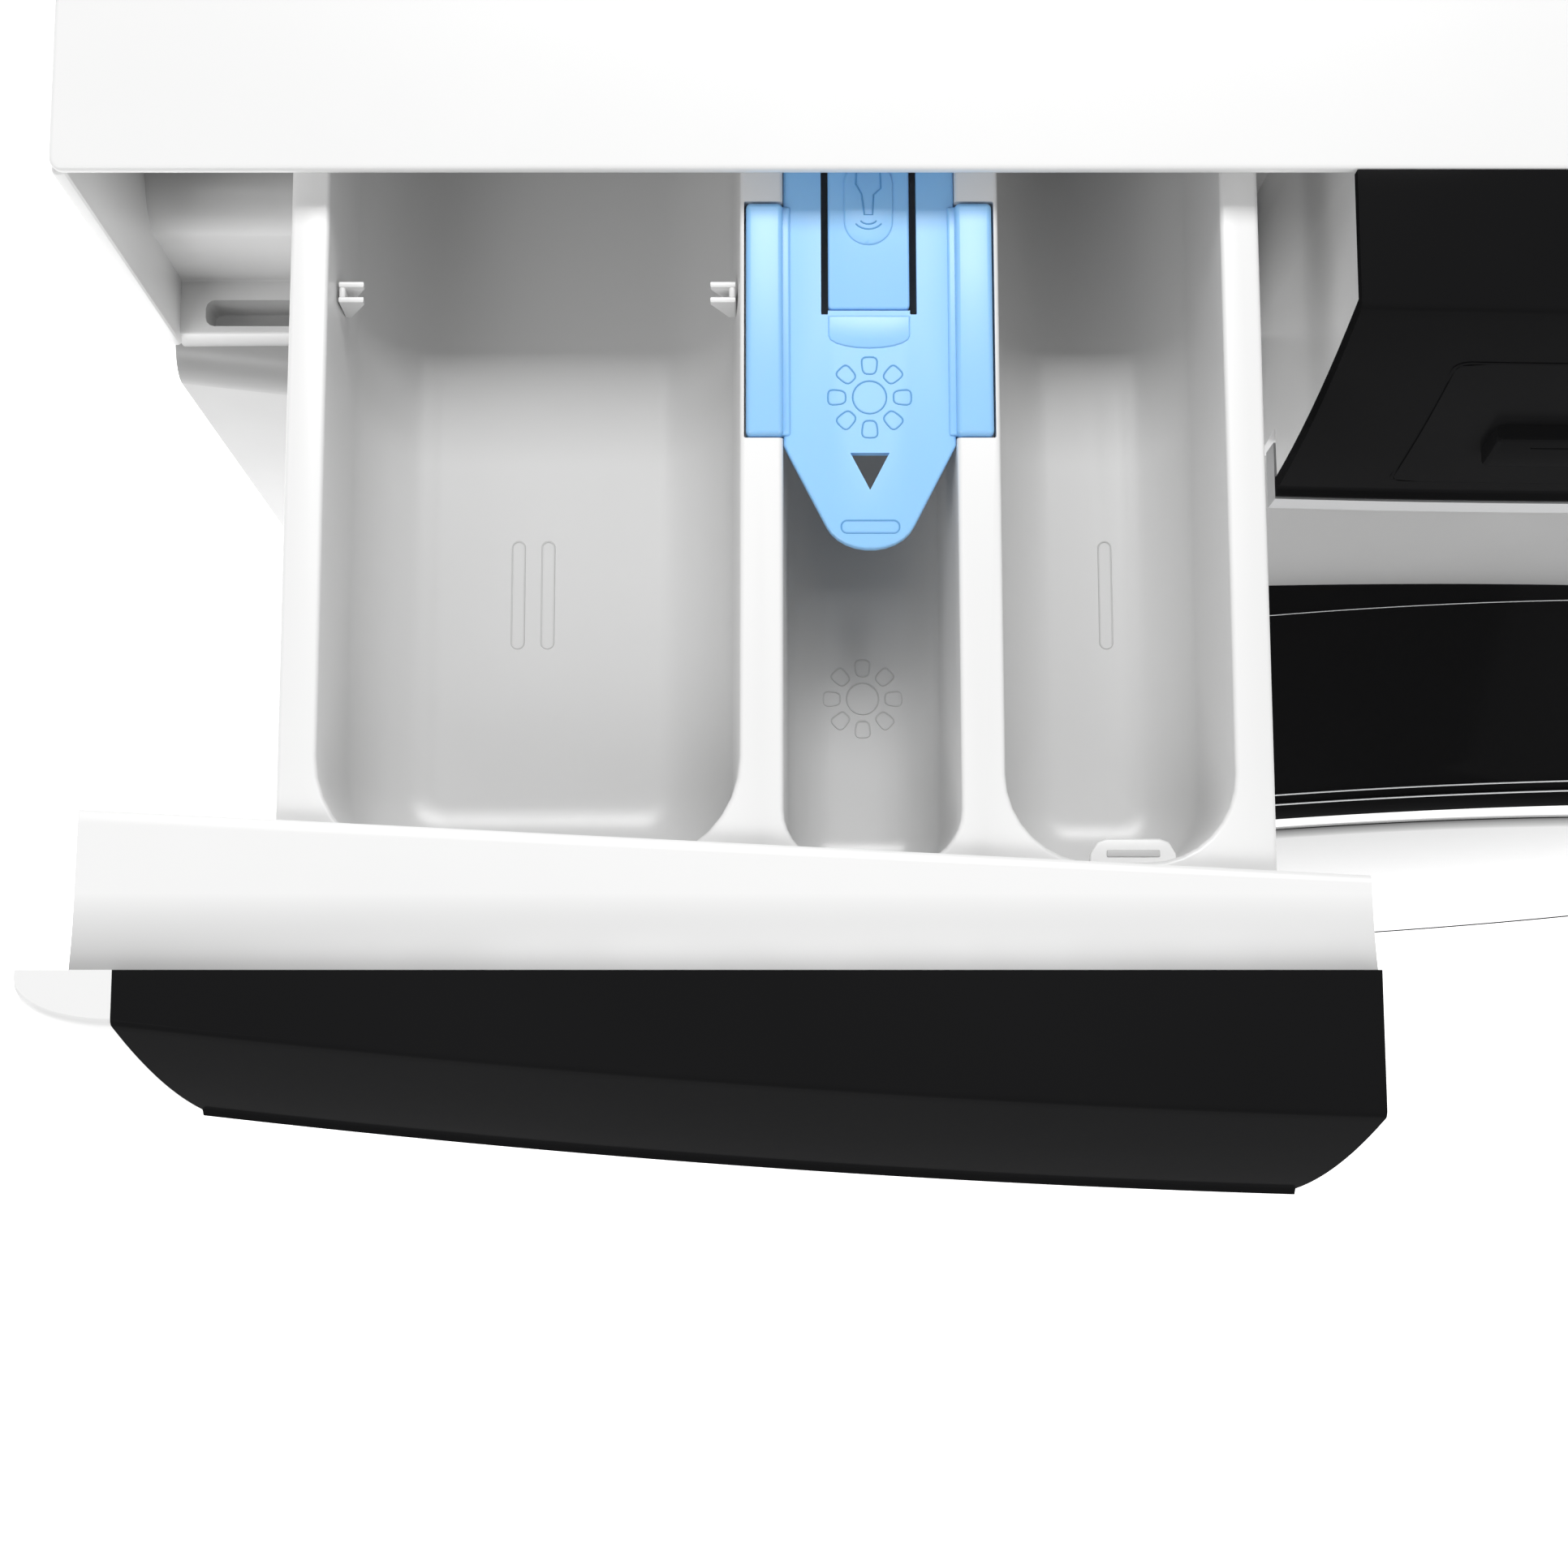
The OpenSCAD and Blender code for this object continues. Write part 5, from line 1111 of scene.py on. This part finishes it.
class WASHER_OT_sheets(bpy.types.Operator):
    """Side and back sheets: pressed stiffening panels, folded front edges and screw heads."""

    bl_idname = "washer.sheets"
    bl_label = "Side and back sheets"

    def execute(self, context):
        low, thick = SHEET_LOW, 1.2
        for side, name in ((-1, "left"), (1, "right")):
            skin = Skin()
            y, z = np.meshgrid(np.linspace(8, DEPTH, 120), np.linspace(low, SKIRT_Z, 150), indexing="ij")
            middle = ((8 + DEPTH) / 2, (low + SKIRT_Z) / 2 - 10)
            depth = 5.0 * embossed(y, z, middle, (400, 620), 60, 14)
            depth = depth - 2.4 * embossed(y, z, middle, (300, 520), 40, 16)
            y = np.where((z > LEDGE_Z) & (y < BAY_Y), BAY_Y, y)
            outer = np.stack([side * (HALF - depth), y, z], -1)
            inner = np.stack([side * (HALF - thick - depth), y, z], -1)
            skin.grid(outer)
            skin.grid(inner)
            rim = [np.stack([outer[i], inner[i]], 1) for i in (0, -1)]
            rim += [np.stack([outer[:, j], inner[:, j]], 1) for j in (0, -1)]
            for strip in rim:
                skin.grid(strip)
            a, b = sorted((side * (HALF - 20), side * HALF))
            block(skin, (a, 8, 50), (b, 9.2, TOP - 131), 0.3)
            piece(f"side_sheet_{name}", skin, "cabinet", "white_steel", white_paint(), [f"side_panel_{name}"])
        back = Skin()
        x, z = np.linspace(-HALF + thick, HALF - thick, 200), np.linspace(low, SKIRT_Z, 220)
        x, z = np.meshgrid(x, z, indexing="ij")
        out = 3.0 * eased((165 - np.hypot(x, z - AXLE_Z)) / 10)
        for cx, cz in ((-170, -140), (170, -140), (-170, 150), (170, 150)):
            out = out + 4.0 * eased((16 - np.hypot(x - cx, z - AXLE_Z - cz)) / 4)
        for h in (TOP - 100, 60.0):
            out = out - 1.0 * embossed(x, z, (-40, h), (380, 30), 14, 8)
        outer = np.stack([x, DEPTH + out - 0.01, z], -1)
        inner = np.stack([x, DEPTH - thick + out, z], -1)
        back.grid(outer)
        back.grid(inner)
        for i in (0, -1):
            back.grid(np.stack([outer[i], inner[i]], 1))
            back.grid(np.stack([outer[:, i], inner[:, i]], 1))
        holes = []
        for cx, cz, r in ((HALF - 70, TOP - 60, 14.0), (HALF - 45, TOP - 150, 11.8), (-HALF + 70, 150, 12.3)):
            profile = [(0, -DEPTH - 9), (r, -DEPTH - 9), (r, -DEPTH + 9), (0, -DEPTH + 9)]
            holes.append(turned(Skin(), profile, (cx, 0, cz), 40, closed=False))
        piece("back_sheet", back, "cabinet", "white_steel", white_paint(), ["back_panel"], cutters=holes)
        screws = Skin()
        head = [(0, 2.6), (2.4, 2.6), (3.4, 2.0), (3.9, 1.0), (4.1, 0), (0, 0)]
        head = [(r, -DEPTH - out_by) for r, out_by in head]
        for cx, cz in [(sx * (HALF - 14), z) for sx in (-1, 1) for z in (40, 220, 420, 620, TOP - 40)]:
            turned(screws, head, (cx, 0, cz), 20, closed=False)
        piece("back_screws", screws, "cabinet", "steel", brushed_steel())
        return {"FINISHED"}


# ---- Door ----

HINGE_X, HINGE_Y = -236.0, -44.0  # the hinge's pin
LEAF_H, ARM_H = 39.0, 12.0  # half the height of the hinge leaf, and what each arm adds to it
LEVER_X, LEVER_Y, LEVER_H = 200, -40, 38  # the handle's pin and half its height


class WASHER_OT_door(bpy.types.Operator):
    """Door: turned black ring and domed cover, silver lines, grey liner, clear bowl, hinge and handle."""

    bl_idname = "washer.door"
    bl_label = "Door"

    def execute(self, context):
        # Radii of the door, of its front rim and of the cover, how far forward the rim stands, and the rake
        door_r, rim, cover, f1, rake = 228.0, 207.8, 168.0, 76.0, 2.5
        slope = (door_r - rim) / (f1 - shape().panel - 2)
        base = door_r + slope * shape().panel

        def outer_at(f):
            """The ring's outer radius f in front: it narrows evenly from its base to the rim."""
            return base + (rim + 1 - base) * f / (f1 - 3)

        centre = (0, 0, AXLE_Z)
        # Room in the ring for the hinge leaf, its two arms and the handle
        low, high = AXLE_Z - LEAF_H, AXLE_Z + LEAF_H
        slots = [block(Skin(), a, b, 0.3) for a, b in (
            ((-250, HINGE_Y - 4.3, low - 0.3), (-190, HINGE_Y + 4.3, high + 0.3)),
            ((-250, -53.5, low - 14.1), (-226.5, 0, low + 0.9)),
            ((-250, -53.5, high - 0.9), (-226.5, 0, high + 14.1)),
            ((194, -64, low), (250, -26, high)),
        )]
        c, s = arc(0, 90, 6)
        profile = [(outer_at(f), f) for f in np.linspace(8, f1 - 6, 14)]
        profile += [(rim - 5 + 6 * co, f1 - 6 + 6 * si) for co, si in zip(c[1:], s[1:])]
        profile += [(rim - 7, f1 - 0.1), (rim - 7, f1 - 1.6), (cover + 0.3, f1 - 1.8), (cover + 0.3, f1 - 14),
                    (cover + 3, f1 - 14), (cover + 3, f1 - 4), (rim - 12, f1 - 4), (rim - 4, f1 - 6)]
        # The glass bezel between rim and cover is slightly dished
        bezel = Skin()
        across = np.linspace(cover + 0.5, rim - 7.2, 8)
        face = [(r, f1 - 0.2 - 0.9 * ((r - rim + 7) / 32) ** 2) for r in across]
        face += [(rim - 7.2, f1 - 1.5), (cover + 0.5, f1 - 1.7)]
        turned(bezel, face, centre, 256, rake=rake)
        piece("door_bezel", bezel, "door", "black_gloss", dark_glass(), sharp=30, cutters=slots)
        profile += [(outer_at(f) - 3, f) for f in (60, 40, 20, 8)]
        ring = turned(Skin(), profile, centre, 256, rake=rake)
        piece("door_ring_skin", ring, "door", "black_gloss", gloss_black(), ["door_ring"], sharp=30,
              cutters=slots)
        trims = Skin()
        for f, w in ((f1 - 5.6, 0.45), (f1 - 3.2, 0.45), (f1 - 49.5, 0.3)):
            turned(trims, [(outer_at(f) - 0.6, f), (outer_at(f) + 0.1, f), (outer_at(f) + 0.3, f + w / 3),
                           (outer_at(f + w) + 0.3, f + w * 0.7), (outer_at(f + w) + 0.1, f + w),
                           (outer_at(f + w) - 0.6, f + w)], centre, 256, rake=rake)
        piece("door_silver_lines", trims, "door", "silver", silver(), ["door_trim_rings"], cutters=slots)
        # The cover's dome falls away with the radius raised to 2.2
        dome = [(r, f1 + 8 - 8.5 * (r / cover) ** 2.2) for r in np.linspace(0, cover - 1.2, 24)]
        under = [(r, f - 3) for r, f in dome[::-1]]
        shell = Skin()
        profile = dome + [(cover - 0.2, f1 - 1.0), (cover - 0.1, f1 - 2.2), (cover - 0.1, f1 - 14),
                          (cover - 3, f1 - 14), (cover - 3, f1 - 4)] + under[1:]
        turned(shell, profile, centre, 192, closed=False, rake=rake)
        piece("door_cover_skin", shell, "door", "black_gloss", dark_glass(), ["door_cover"], sharp=30)
        # Liner: g is the radius of its opening, f0 and f2 are its back and front
        liner = Skin()
        g, f0 = 146.0, shape().panel + 2.1
        f2 = f0 + 6
        turned(liner, [(g, f0), (g + 1, f0), (door_r - 12, f0), (door_r - 11, f0 + 0.8), (door_r - 12, f2),
                       (g + 1, f2), (g, f0 + 5)], centre, 192)
        hook = Skin()
        block(hook, (CATCH_X0, -60, AXLE_Z - CATCH_H), (CATCH_X1, 10, AXLE_Z + CATCH_H), 0.5, r=2, axis=1)
        piece("door_liner", liner, "door", "light_grey", trim_grey(), ["door_inner_frame"], cutters=[hook])
        bowl = Skin()
        outside = [(0, -75), (g - 60, -75), (g - 52, -74.2), (g - 42, -71), (g - 36, -65), (g - 33, -58),
                   (g - 10, 10), (g - 4, f2 - 1), (g + 2, f2), (g + 14, f2)]
        inside = [(g + 14, f2 + 4), (g - 8, f2 + 4), (g - 14, 10), (g - 37, -57), (g - 40, -63),
                  (g - 46, -68), (g - 56, -71), (0, -71)]
        turned(bowl, outside + inside, centre, 160, closed=False)
        piece("door_bowl", bowl, "door", "clear_glass", door_glass(), ["door_glass"], sharp=50)
        self.hinge()
        self.handle()
        return {"FINISHED"}

    def hinge(self):
        """Hinge: a thick barrel round a thinner pin, both upright posts, with a flat leaf beside them."""
        skin = Skin()
        for r, reach in ((8.0, LEAF_H), (4.0, LEAF_H + ARM_H + 2)):
            low, high = AXLE_Z - reach, AXLE_Z + reach
            post(skin, HINGE_X, HINGE_Y, [(r - 0.8, low), (r, low + 0.8), (r, high - 0.8), (r - 0.8, high)])
        block(skin, (HINGE_X, HINGE_Y - 4, AXLE_Z - LEAF_H), (-192, HINGE_Y + 4, AXLE_Z + LEAF_H), 0.8)
        piece("hinge_leaf_skin", skin, "door", "aluminium", cast_aluminium(), ["hinge_leaf"])

    def handle(self):
        """Handle: a grip that turns on an upright pin, with a tail that reaches back to the catch."""
        skin = Skin()
        low, high = AXLE_Z - LEVER_H, AXLE_Z + LEVER_H
        post(skin, LEVER_X, LEVER_Y, [(4.4, low), (5, low + 0.7), (5, high - 0.7), (4.4, high)])
        block(skin, (LEVER_X, LEVER_Y - 3, low), (LEVER_X + 16, LEVER_Y + 3, high), 1.6)
        block(skin, (LEVER_X - 10, LEVER_Y + 2, AXLE_Z - 8), (LEVER_X - 4, 4, AXLE_Z + 8), 0.8)
        block(skin, (LEVER_X - 10, LEVER_Y - 3, AXLE_Z - 8), (LEVER_X, LEVER_Y + 3, AXLE_Z + 8), 0.8)
        piece("handle_lever", skin, "door_handle", "black_gloss", gloss_black(), ["door_handle"])


# ---- Drum, tub and running gear ----


class WASHER_OT_drum(bpy.types.Operator):
    """Drum: a steel basket whose wall has real holes, with three hollow-sided lifters."""

    bl_idname = "washer.drum"
    bl_label = "Drum"

    def execute(self, context):
        # The drum's radius, its mouth and back, its wall, and the plain band at each end
        r, y0, y1, wall, band = 240.0, 92.0, 372.0, 1.5, 20
        rows, columns = shape().hole_rows, 96
        skin = Skin()
        # Each cell of the wall is a square with an eight-sided hole: the ring between them is eight faces
        pitch_a, pitch_y = 2 * math.pi / columns, (y1 - y0 - 2 * band) / rows
        i, j = np.meshgrid(np.arange(columns), np.arange(rows), indexing="ij")
        square = np.array([(-1, -1), (0, -1), (1, -1), (1, 0), (1, 1), (0, 1), (-1, 1), (-1, 0)]) * 0.5
        hole = square / np.linalg.norm(square, axis=1)[:, None] * 0.16
        flat = np.concatenate([square, hole])
        a = (i[..., None] + flat[:, 0]) * pitch_a
        y = y0 + band + (j[..., None] + 0.5 + flat[:, 1]) * pitch_y
        middle = r - wall / 2
        points = np.stack([middle * np.cos(a), y, AXLE_Z + middle * np.sin(a)], -1)
        cells = np.arange(columns * rows)[:, None, None] * 16
        k = np.arange(8)
        quads = np.stack([k, (k + 1) % 8, 8 + (k + 1) % 8, 8 + k], -1)[None]
        skin.add(points, (cells + quads).reshape(-1, 4))
        a = np.arange(columns * 2) * pitch_a / 2 - pitch_a / 2
        for profile in (
            [(middle, y0 + band), (middle, y0 + 4), (r - 2, y0 + 1.5), (r - 5, y0 + 0.8), (175, y0 + 0.8),
             (165, y0 + 3), (159.5, y0 + 9), (158.6, y0 + 9.5)],
            [(middle, y1 - band), (middle, y1 - 4), (r - 2, y1 - 1.5), (r - 6, y1 - 0.8), (120, y1 - 0.8),
             (100, y1 - 1.4), (0.01, y1 - 1.4)],
        ):
            q, y = (c[:, None] for c in np.array(profile).T)
            hoops = [q * np.cos(a), y + 0 * a, AXLE_Z + q * np.sin(a)]
            skin.grid(np.stack(hoops, -1), around=True)
        drum = piece("drum_basket", skin, "drum", "steel", brushed_steel(), ["drum_shell"], sharp=40)
        thicken = drum.modifiers.new("Wall", "SOLIDIFY")
        thicken.thickness, thicken.offset = wall * MM * 0.8, 0.0
        # Lifters: a rounded ridge along the wall that tapers towards both ends
        lifters = Skin()
        lifter_h, lifter_w = 56, 24
        for turn in (0, 120, 240):
            c, s = math.cos(math.radians(turn)), math.sin(math.radians(turn))
            y = np.linspace(y0 + band + 1, y1 - band - 1, 40)
            u = np.linspace(-1, 1, 25)
            taper = np.clip(np.minimum(y - y0 - band, y1 - band - y) / 30, 0.05, 1) ** 0.5
            h = lifter_h * (np.cos(u * math.pi / 2) ** 0.8)[None, :] * taper[:, None]
            w = np.broadcast_to(lifter_w * u[None, :], h.shape)
            base = np.sqrt((r - 2.2) ** 2 - w**2)
            # The crest stands off the wall by h, and the foot follows the wall
            along = np.broadcast_to(y[:, None], w.shape)
            crest, foot = (
                np.stack([w * c + rad * s, along, AXLE_Z - (-w * s + rad * c)], -1)
                for rad in (base - h, base)
            )
            lifters.grid(np.concatenate([crest, foot[:, ::-1]], 1), around=True, ends=True)
        piece("lifters", lifters, "drum", "plastic_grey", grey_plastic(), ["drum_lifters"], sharp=50)
        return {"FINISHED"}


class WASHER_OT_soft_links(bpy.types.Operator):
    """What bends between cabinet and tub: the door gasket's folds, the hoses and the hanging springs."""

    bl_idname = "washer.soft_links"
    bl_label = "Gasket, hoses and springs"

    def execute(self, context):
        self.gasket()
        self.hoses()
        self.springs()
        return {"FINISHED"}

    def gasket(self):
        """Door gasket: a folded lip, its line rippled by a sine, turned about the drum's axle."""
        r = OPENING_R
        gasket = Skin()
        t = np.linspace(0, 1, 40)
        fold = np.column_stack([
            np.interp(t, [0, 0.12, 0.3, 0.55, 0.75, 1], [r - 1, r - 2.5, r - 2.8, r + 12, r + 18, r + 18]),
            np.interp(t, [0, 0.12, 0.3, 0.55, 0.75, 1], [21.5, 6, -26, -44, -54, -69.8]),
        ])
        fold[:, 0] += 1.5 * np.sin(t * math.pi * 7) * np.sin(t * math.pi)
        step = np.gradient(fold, axis=0)
        step /= np.linalg.norm(step, axis=1)[:, None]
        side = np.column_stack([-step[:, 1], step[:, 0]]) * 1.2
        turned(gasket, np.concatenate([fold + side, (fold - side)[::-1]]), (0, 0, AXLE_Z), 128)
        obj = piece("gasket_folds", gasket, "cabinet", "rubber", grey_rubber(), ["door_gasket"], sharp=60)
        self.bend(obj, (0, EDGE_Y + 4, AXLE_Z), (0, EDGE_Y + 66, AXLE_Z))

    def hoses(self):
        """Tub hoses, to the housing and to the pump: round sections whose radius ripples with a cosine."""
        # The spout's hose drops from the housing to the tub; the sump's curves down and across to the pump
        spout_x, spout_y, spout_top, spout_low = -203.4, 200, 761, 574.5
        drop = [(spout_x, spout_y, z) for z in np.linspace(spout_top, spout_low, 120)]
        sump, pump = (60, 150, 105), (153, 110, 55)
        curve = self.route(sump, (0, 0, -48), pump, (62, 0, 0), 100)
        # Each hose's end at the cabinet and its end at the tub
        drop_ends = (spout_x, spout_y, spout_top - 9), (spout_x, spout_y, spout_low + 9.5)
        curve_ends = (pump[0] - 3, pump[1] + 2, pump[2] + 2), (sump[0] + 2, sump[1] - 1, sump[2] - 3)
        for name, path, (start, end), r, stands_for in (
            ("spout_hose", drop, drop_ends, 14.0, ["tub_hoses"]),
            ("sump_hose", curve, curve_ends, 12.0, []),
        ):
            hose = Skin()
            n = np.arange(len(path))
            ripple = np.clip(np.minimum(n, len(path) - 1 - n) / 8 - 1, 0, 1) * (1 + np.cos(n * 1.26)) * 0.9
            tube(hose, path, r - 0.1 + ripple - 1.2 * (ripple > 0), sides=28, up=(0, 1, 0))
            obj = piece(name, hose, "cabinet", "black_rubber", black_rubber(), stands_for, sharp=60)
            self.bend(obj, (start[0], EDGE_Y + start[1], start[2]), (end[0], EDGE_Y + end[1], end[2]))

    def springs(self):
        """Hanging springs: a wire carried along a helix on each side, from the tub's lug up to the brace."""
        springs = Skin()
        lug, brace = AXLE_Z + 178, TOP - 35
        turns, wire, radius, spring_x, spring_y = 12, 1.7, 11.0, 215, 330
        k = np.linspace(0, turns * 2 * math.pi, turns * 20)
        z = np.linspace(lug + 1.9, brace - 1.9, len(k))
        for side in (-1, 1):
            path = np.column_stack([side * spring_x + radius * np.cos(k), spring_y + radius * np.sin(k), z])
            tube(springs, path, wire, sides=7)
        obj = piece("hanging_springs", springs, "cabinet", "steel", brushed_steel(), ["suspension_springs"],
                    sharp=60)
        self.bend(obj, (0, 0, brace), (0, 0, lug))

    def route(self, a, along_a, b, along_b, n):
        """A cubic curve from a to b that leaves along one direction and arrives along the other."""
        a, along_a, b, along_b = (np.array(p, float) for p in (a, along_a, b, along_b))
        t = np.linspace(0, 1, n)[:, None]
        u = 1 - t
        return u**3 * a + 3 * u * u * t * (a + along_a) + 3 * u * t * t * (b - along_b) + t**3 * b

    def bend(self, obj, start, end):
        """Frees the piece from its body and bakes its place into its points."""
        obj.parent = None
        if "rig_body" in obj:
            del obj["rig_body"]
        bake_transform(obj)


class WASHER_OT_finishes(bpy.types.Operator):
    """Gives every CAD node that still shows its own procedural finish."""

    bl_idname = "washer.finishes"
    bl_label = "Finishes of the inner parts"

    KINDS = {
        "base_tray": "steel", "control_board": "board", "dispenser_housing": "plastic_grey",
        "inlet_valve": "white_plastic", "fill_hose": "rubber", "door_lock": "white_plastic",
        "hinge_bracket": "aluminium", "drain_pump": "black_gloss", "drain_hose": "plastic_grey",
        "mains_gland": "black_rubber", "damper_cylinders": "plastic_grey", "levelling_feet": "black_rubber",
        "top_brace": "steel", "outer_tub_rear": "plastic_grey", "outer_tub_front": "plastic_grey",
        "front_counterweight": "iron", "top_counterweight": "iron", "heater": "steel",
        "drive_motor": "aluminium",
        "drum_bearings": "steel", "damper_rods": "steel", "drive_belt": "black_rubber",
        "drum_spider": "aluminium", "drum_shaft": "steel", "drum_pulley": "aluminium",
        "motor_pulley": "steel",
        "filter_cap": "blue_plastic",
    }

    def execute(self, context):
        for name, obj in frame["nodes"].items():
            kind = self.KINDS.get(name)
            if kind is None:
                continue
            obj.data.materials.clear()
            obj.data.materials.append(FINISHES[kind]())
        return {"FINISHED"}


# ---- Stage ----


class WASHER_OT_stage(bpy.types.Operator):
    """Camera, soft studio lights and a plain pale floor."""

    bl_idname = "washer.stage"
    bl_label = "Stage"

    def execute(self, context):
        scene = context.scene
        data = bpy.data.cameras.new("view")
        data.lens, data.sensor_width = 66.0, 36.0
        data.shift_x, data.shift_y = 0.0206, -0.0431
        data.clip_start, data.clip_end = 0.01, 50
        camera = bpy.data.objects.new("view", data)
        camera.location = (-0.1788, (EDGE_Y - 173.05) * MM, 1.3226)
        camera.rotation_euler = (0.163, 0, 0)
        scene.collection.objects.link(camera)
        scene.camera = camera

        floor = bpy.data.meshes.new("floor")
        reach = np.linspace(-60, 60, 9)
        x, y = np.meshgrid(reach, reach, indexing="ij")
        skin = Skin().grid(np.stack([x, y, np.full(x.shape, -0.0005)], -1))
        floor.from_pydata(skin.points[0].tolist(), [], skin.faces)
        pale = finish("pale_floor", (0.9, 0.9, 0.9), 0.7, mottle=0.004, grain=80, depth=0.0001)
        floor.materials.append(pale)
        obj = bpy.data.objects.new("floor", floor)
        scene.collection.objects.link(obj)
        shader = pale.node_tree.nodes["Principled BSDF"]
        shader.inputs["Emission Color"].default_value = (1, 1, 1, 1)
        shader.inputs["Emission Strength"].default_value = 0.95

        world = bpy.data.worlds.new("studio")
        world.use_nodes = True
        back = world.node_tree.nodes["Background"]
        back.inputs["Color"].default_value = (1, 1, 1, 1)
        back.inputs["Strength"].default_value = 0.30
        scene.world = world
        for name, place, aim, size, power in (
            ("key", (-0.1, 0.62, 2.3), (-0.1, -0.2, 0.8), (0.9, 0.55), 19),
            ("fill", (-1.3, -1.3, 2.3), (-0.1, -0.2, 0.75), (1.0, 1.0), 14),
            ("front", (1.2, -1.5, 2.0), (0, -0.2, 0.7), (1.2, 1.2), 9),
        ):
            lamp = bpy.data.lights.new(name, "AREA")
            lamp.shape, lamp.size, lamp.size_y, lamp.energy = "RECTANGLE", size[0], size[1], power
            light = bpy.data.objects.new(name, lamp)
            light.location = place
            light.rotation_euler = (Vector(aim) - Vector(place)).to_track_quat("-Z", "Y").to_euler()
            scene.collection.objects.link(light)
        scene.view_settings.view_transform = "Standard"
        return {"FINISHED"}


class WASHER_PT_panel(bpy.types.Panel):
    """Lists the washing machine's pieces."""

    bl_idname = "WASHER_PT_panel"
    bl_label = "Washing machine"
    bl_space_type = "VIEW_3D"
    bl_region_type = "UI"
    bl_category = "Washer"

    def draw(self, context):
        """Shows the sizes and colours, then a button for each operator."""
        layout = self.layout
        for group in (context.scene.washer_shape, context.scene.washer_colours):
            for key in group.__annotations__:
                layout.prop(group, key)
        for operator in OPERATORS:
            layout.operator(operator.bl_idname)


OPERATORS = (
    WASHER_OT_stage,
    WASHER_OT_worktop,
    WASHER_OT_surround,
    WASHER_OT_tray,
    WASHER_OT_insert,
    WASHER_OT_drawer_front,
    WASHER_OT_control_panel,
    WASHER_OT_lower_front,
    WASHER_OT_sheets,
    WASHER_OT_door,
    WASHER_OT_drum,
    WASHER_OT_soft_links,
    WASHER_OT_finishes,
)
CLASSES = (WasherShape, WasherColours, *OPERATORS, WASHER_PT_panel)


def register():
    """Adds the classes, and the sizes and colours that each scene holds."""
    for cls in CLASSES:
        bpy.utils.register_class(cls)
    bpy.types.Scene.washer_shape = PointerProperty(type=WasherShape)
    bpy.types.Scene.washer_colours = PointerProperty(type=WasherColours)


def unregister():
    """Takes away what register added, in the opposite order."""
    del bpy.types.Scene.washer_shape
    del bpy.types.Scene.washer_colours
    for cls in reversed(CLASSES):
        bpy.utils.unregister_class(cls)


def main():
    """Runs every operator in order."""
    register()
    for operator in OPERATORS:
        group, name = operator.bl_idname.split(".")
        getattr(getattr(bpy.ops, group), name)()


if __name__ == "__main__":
    main()
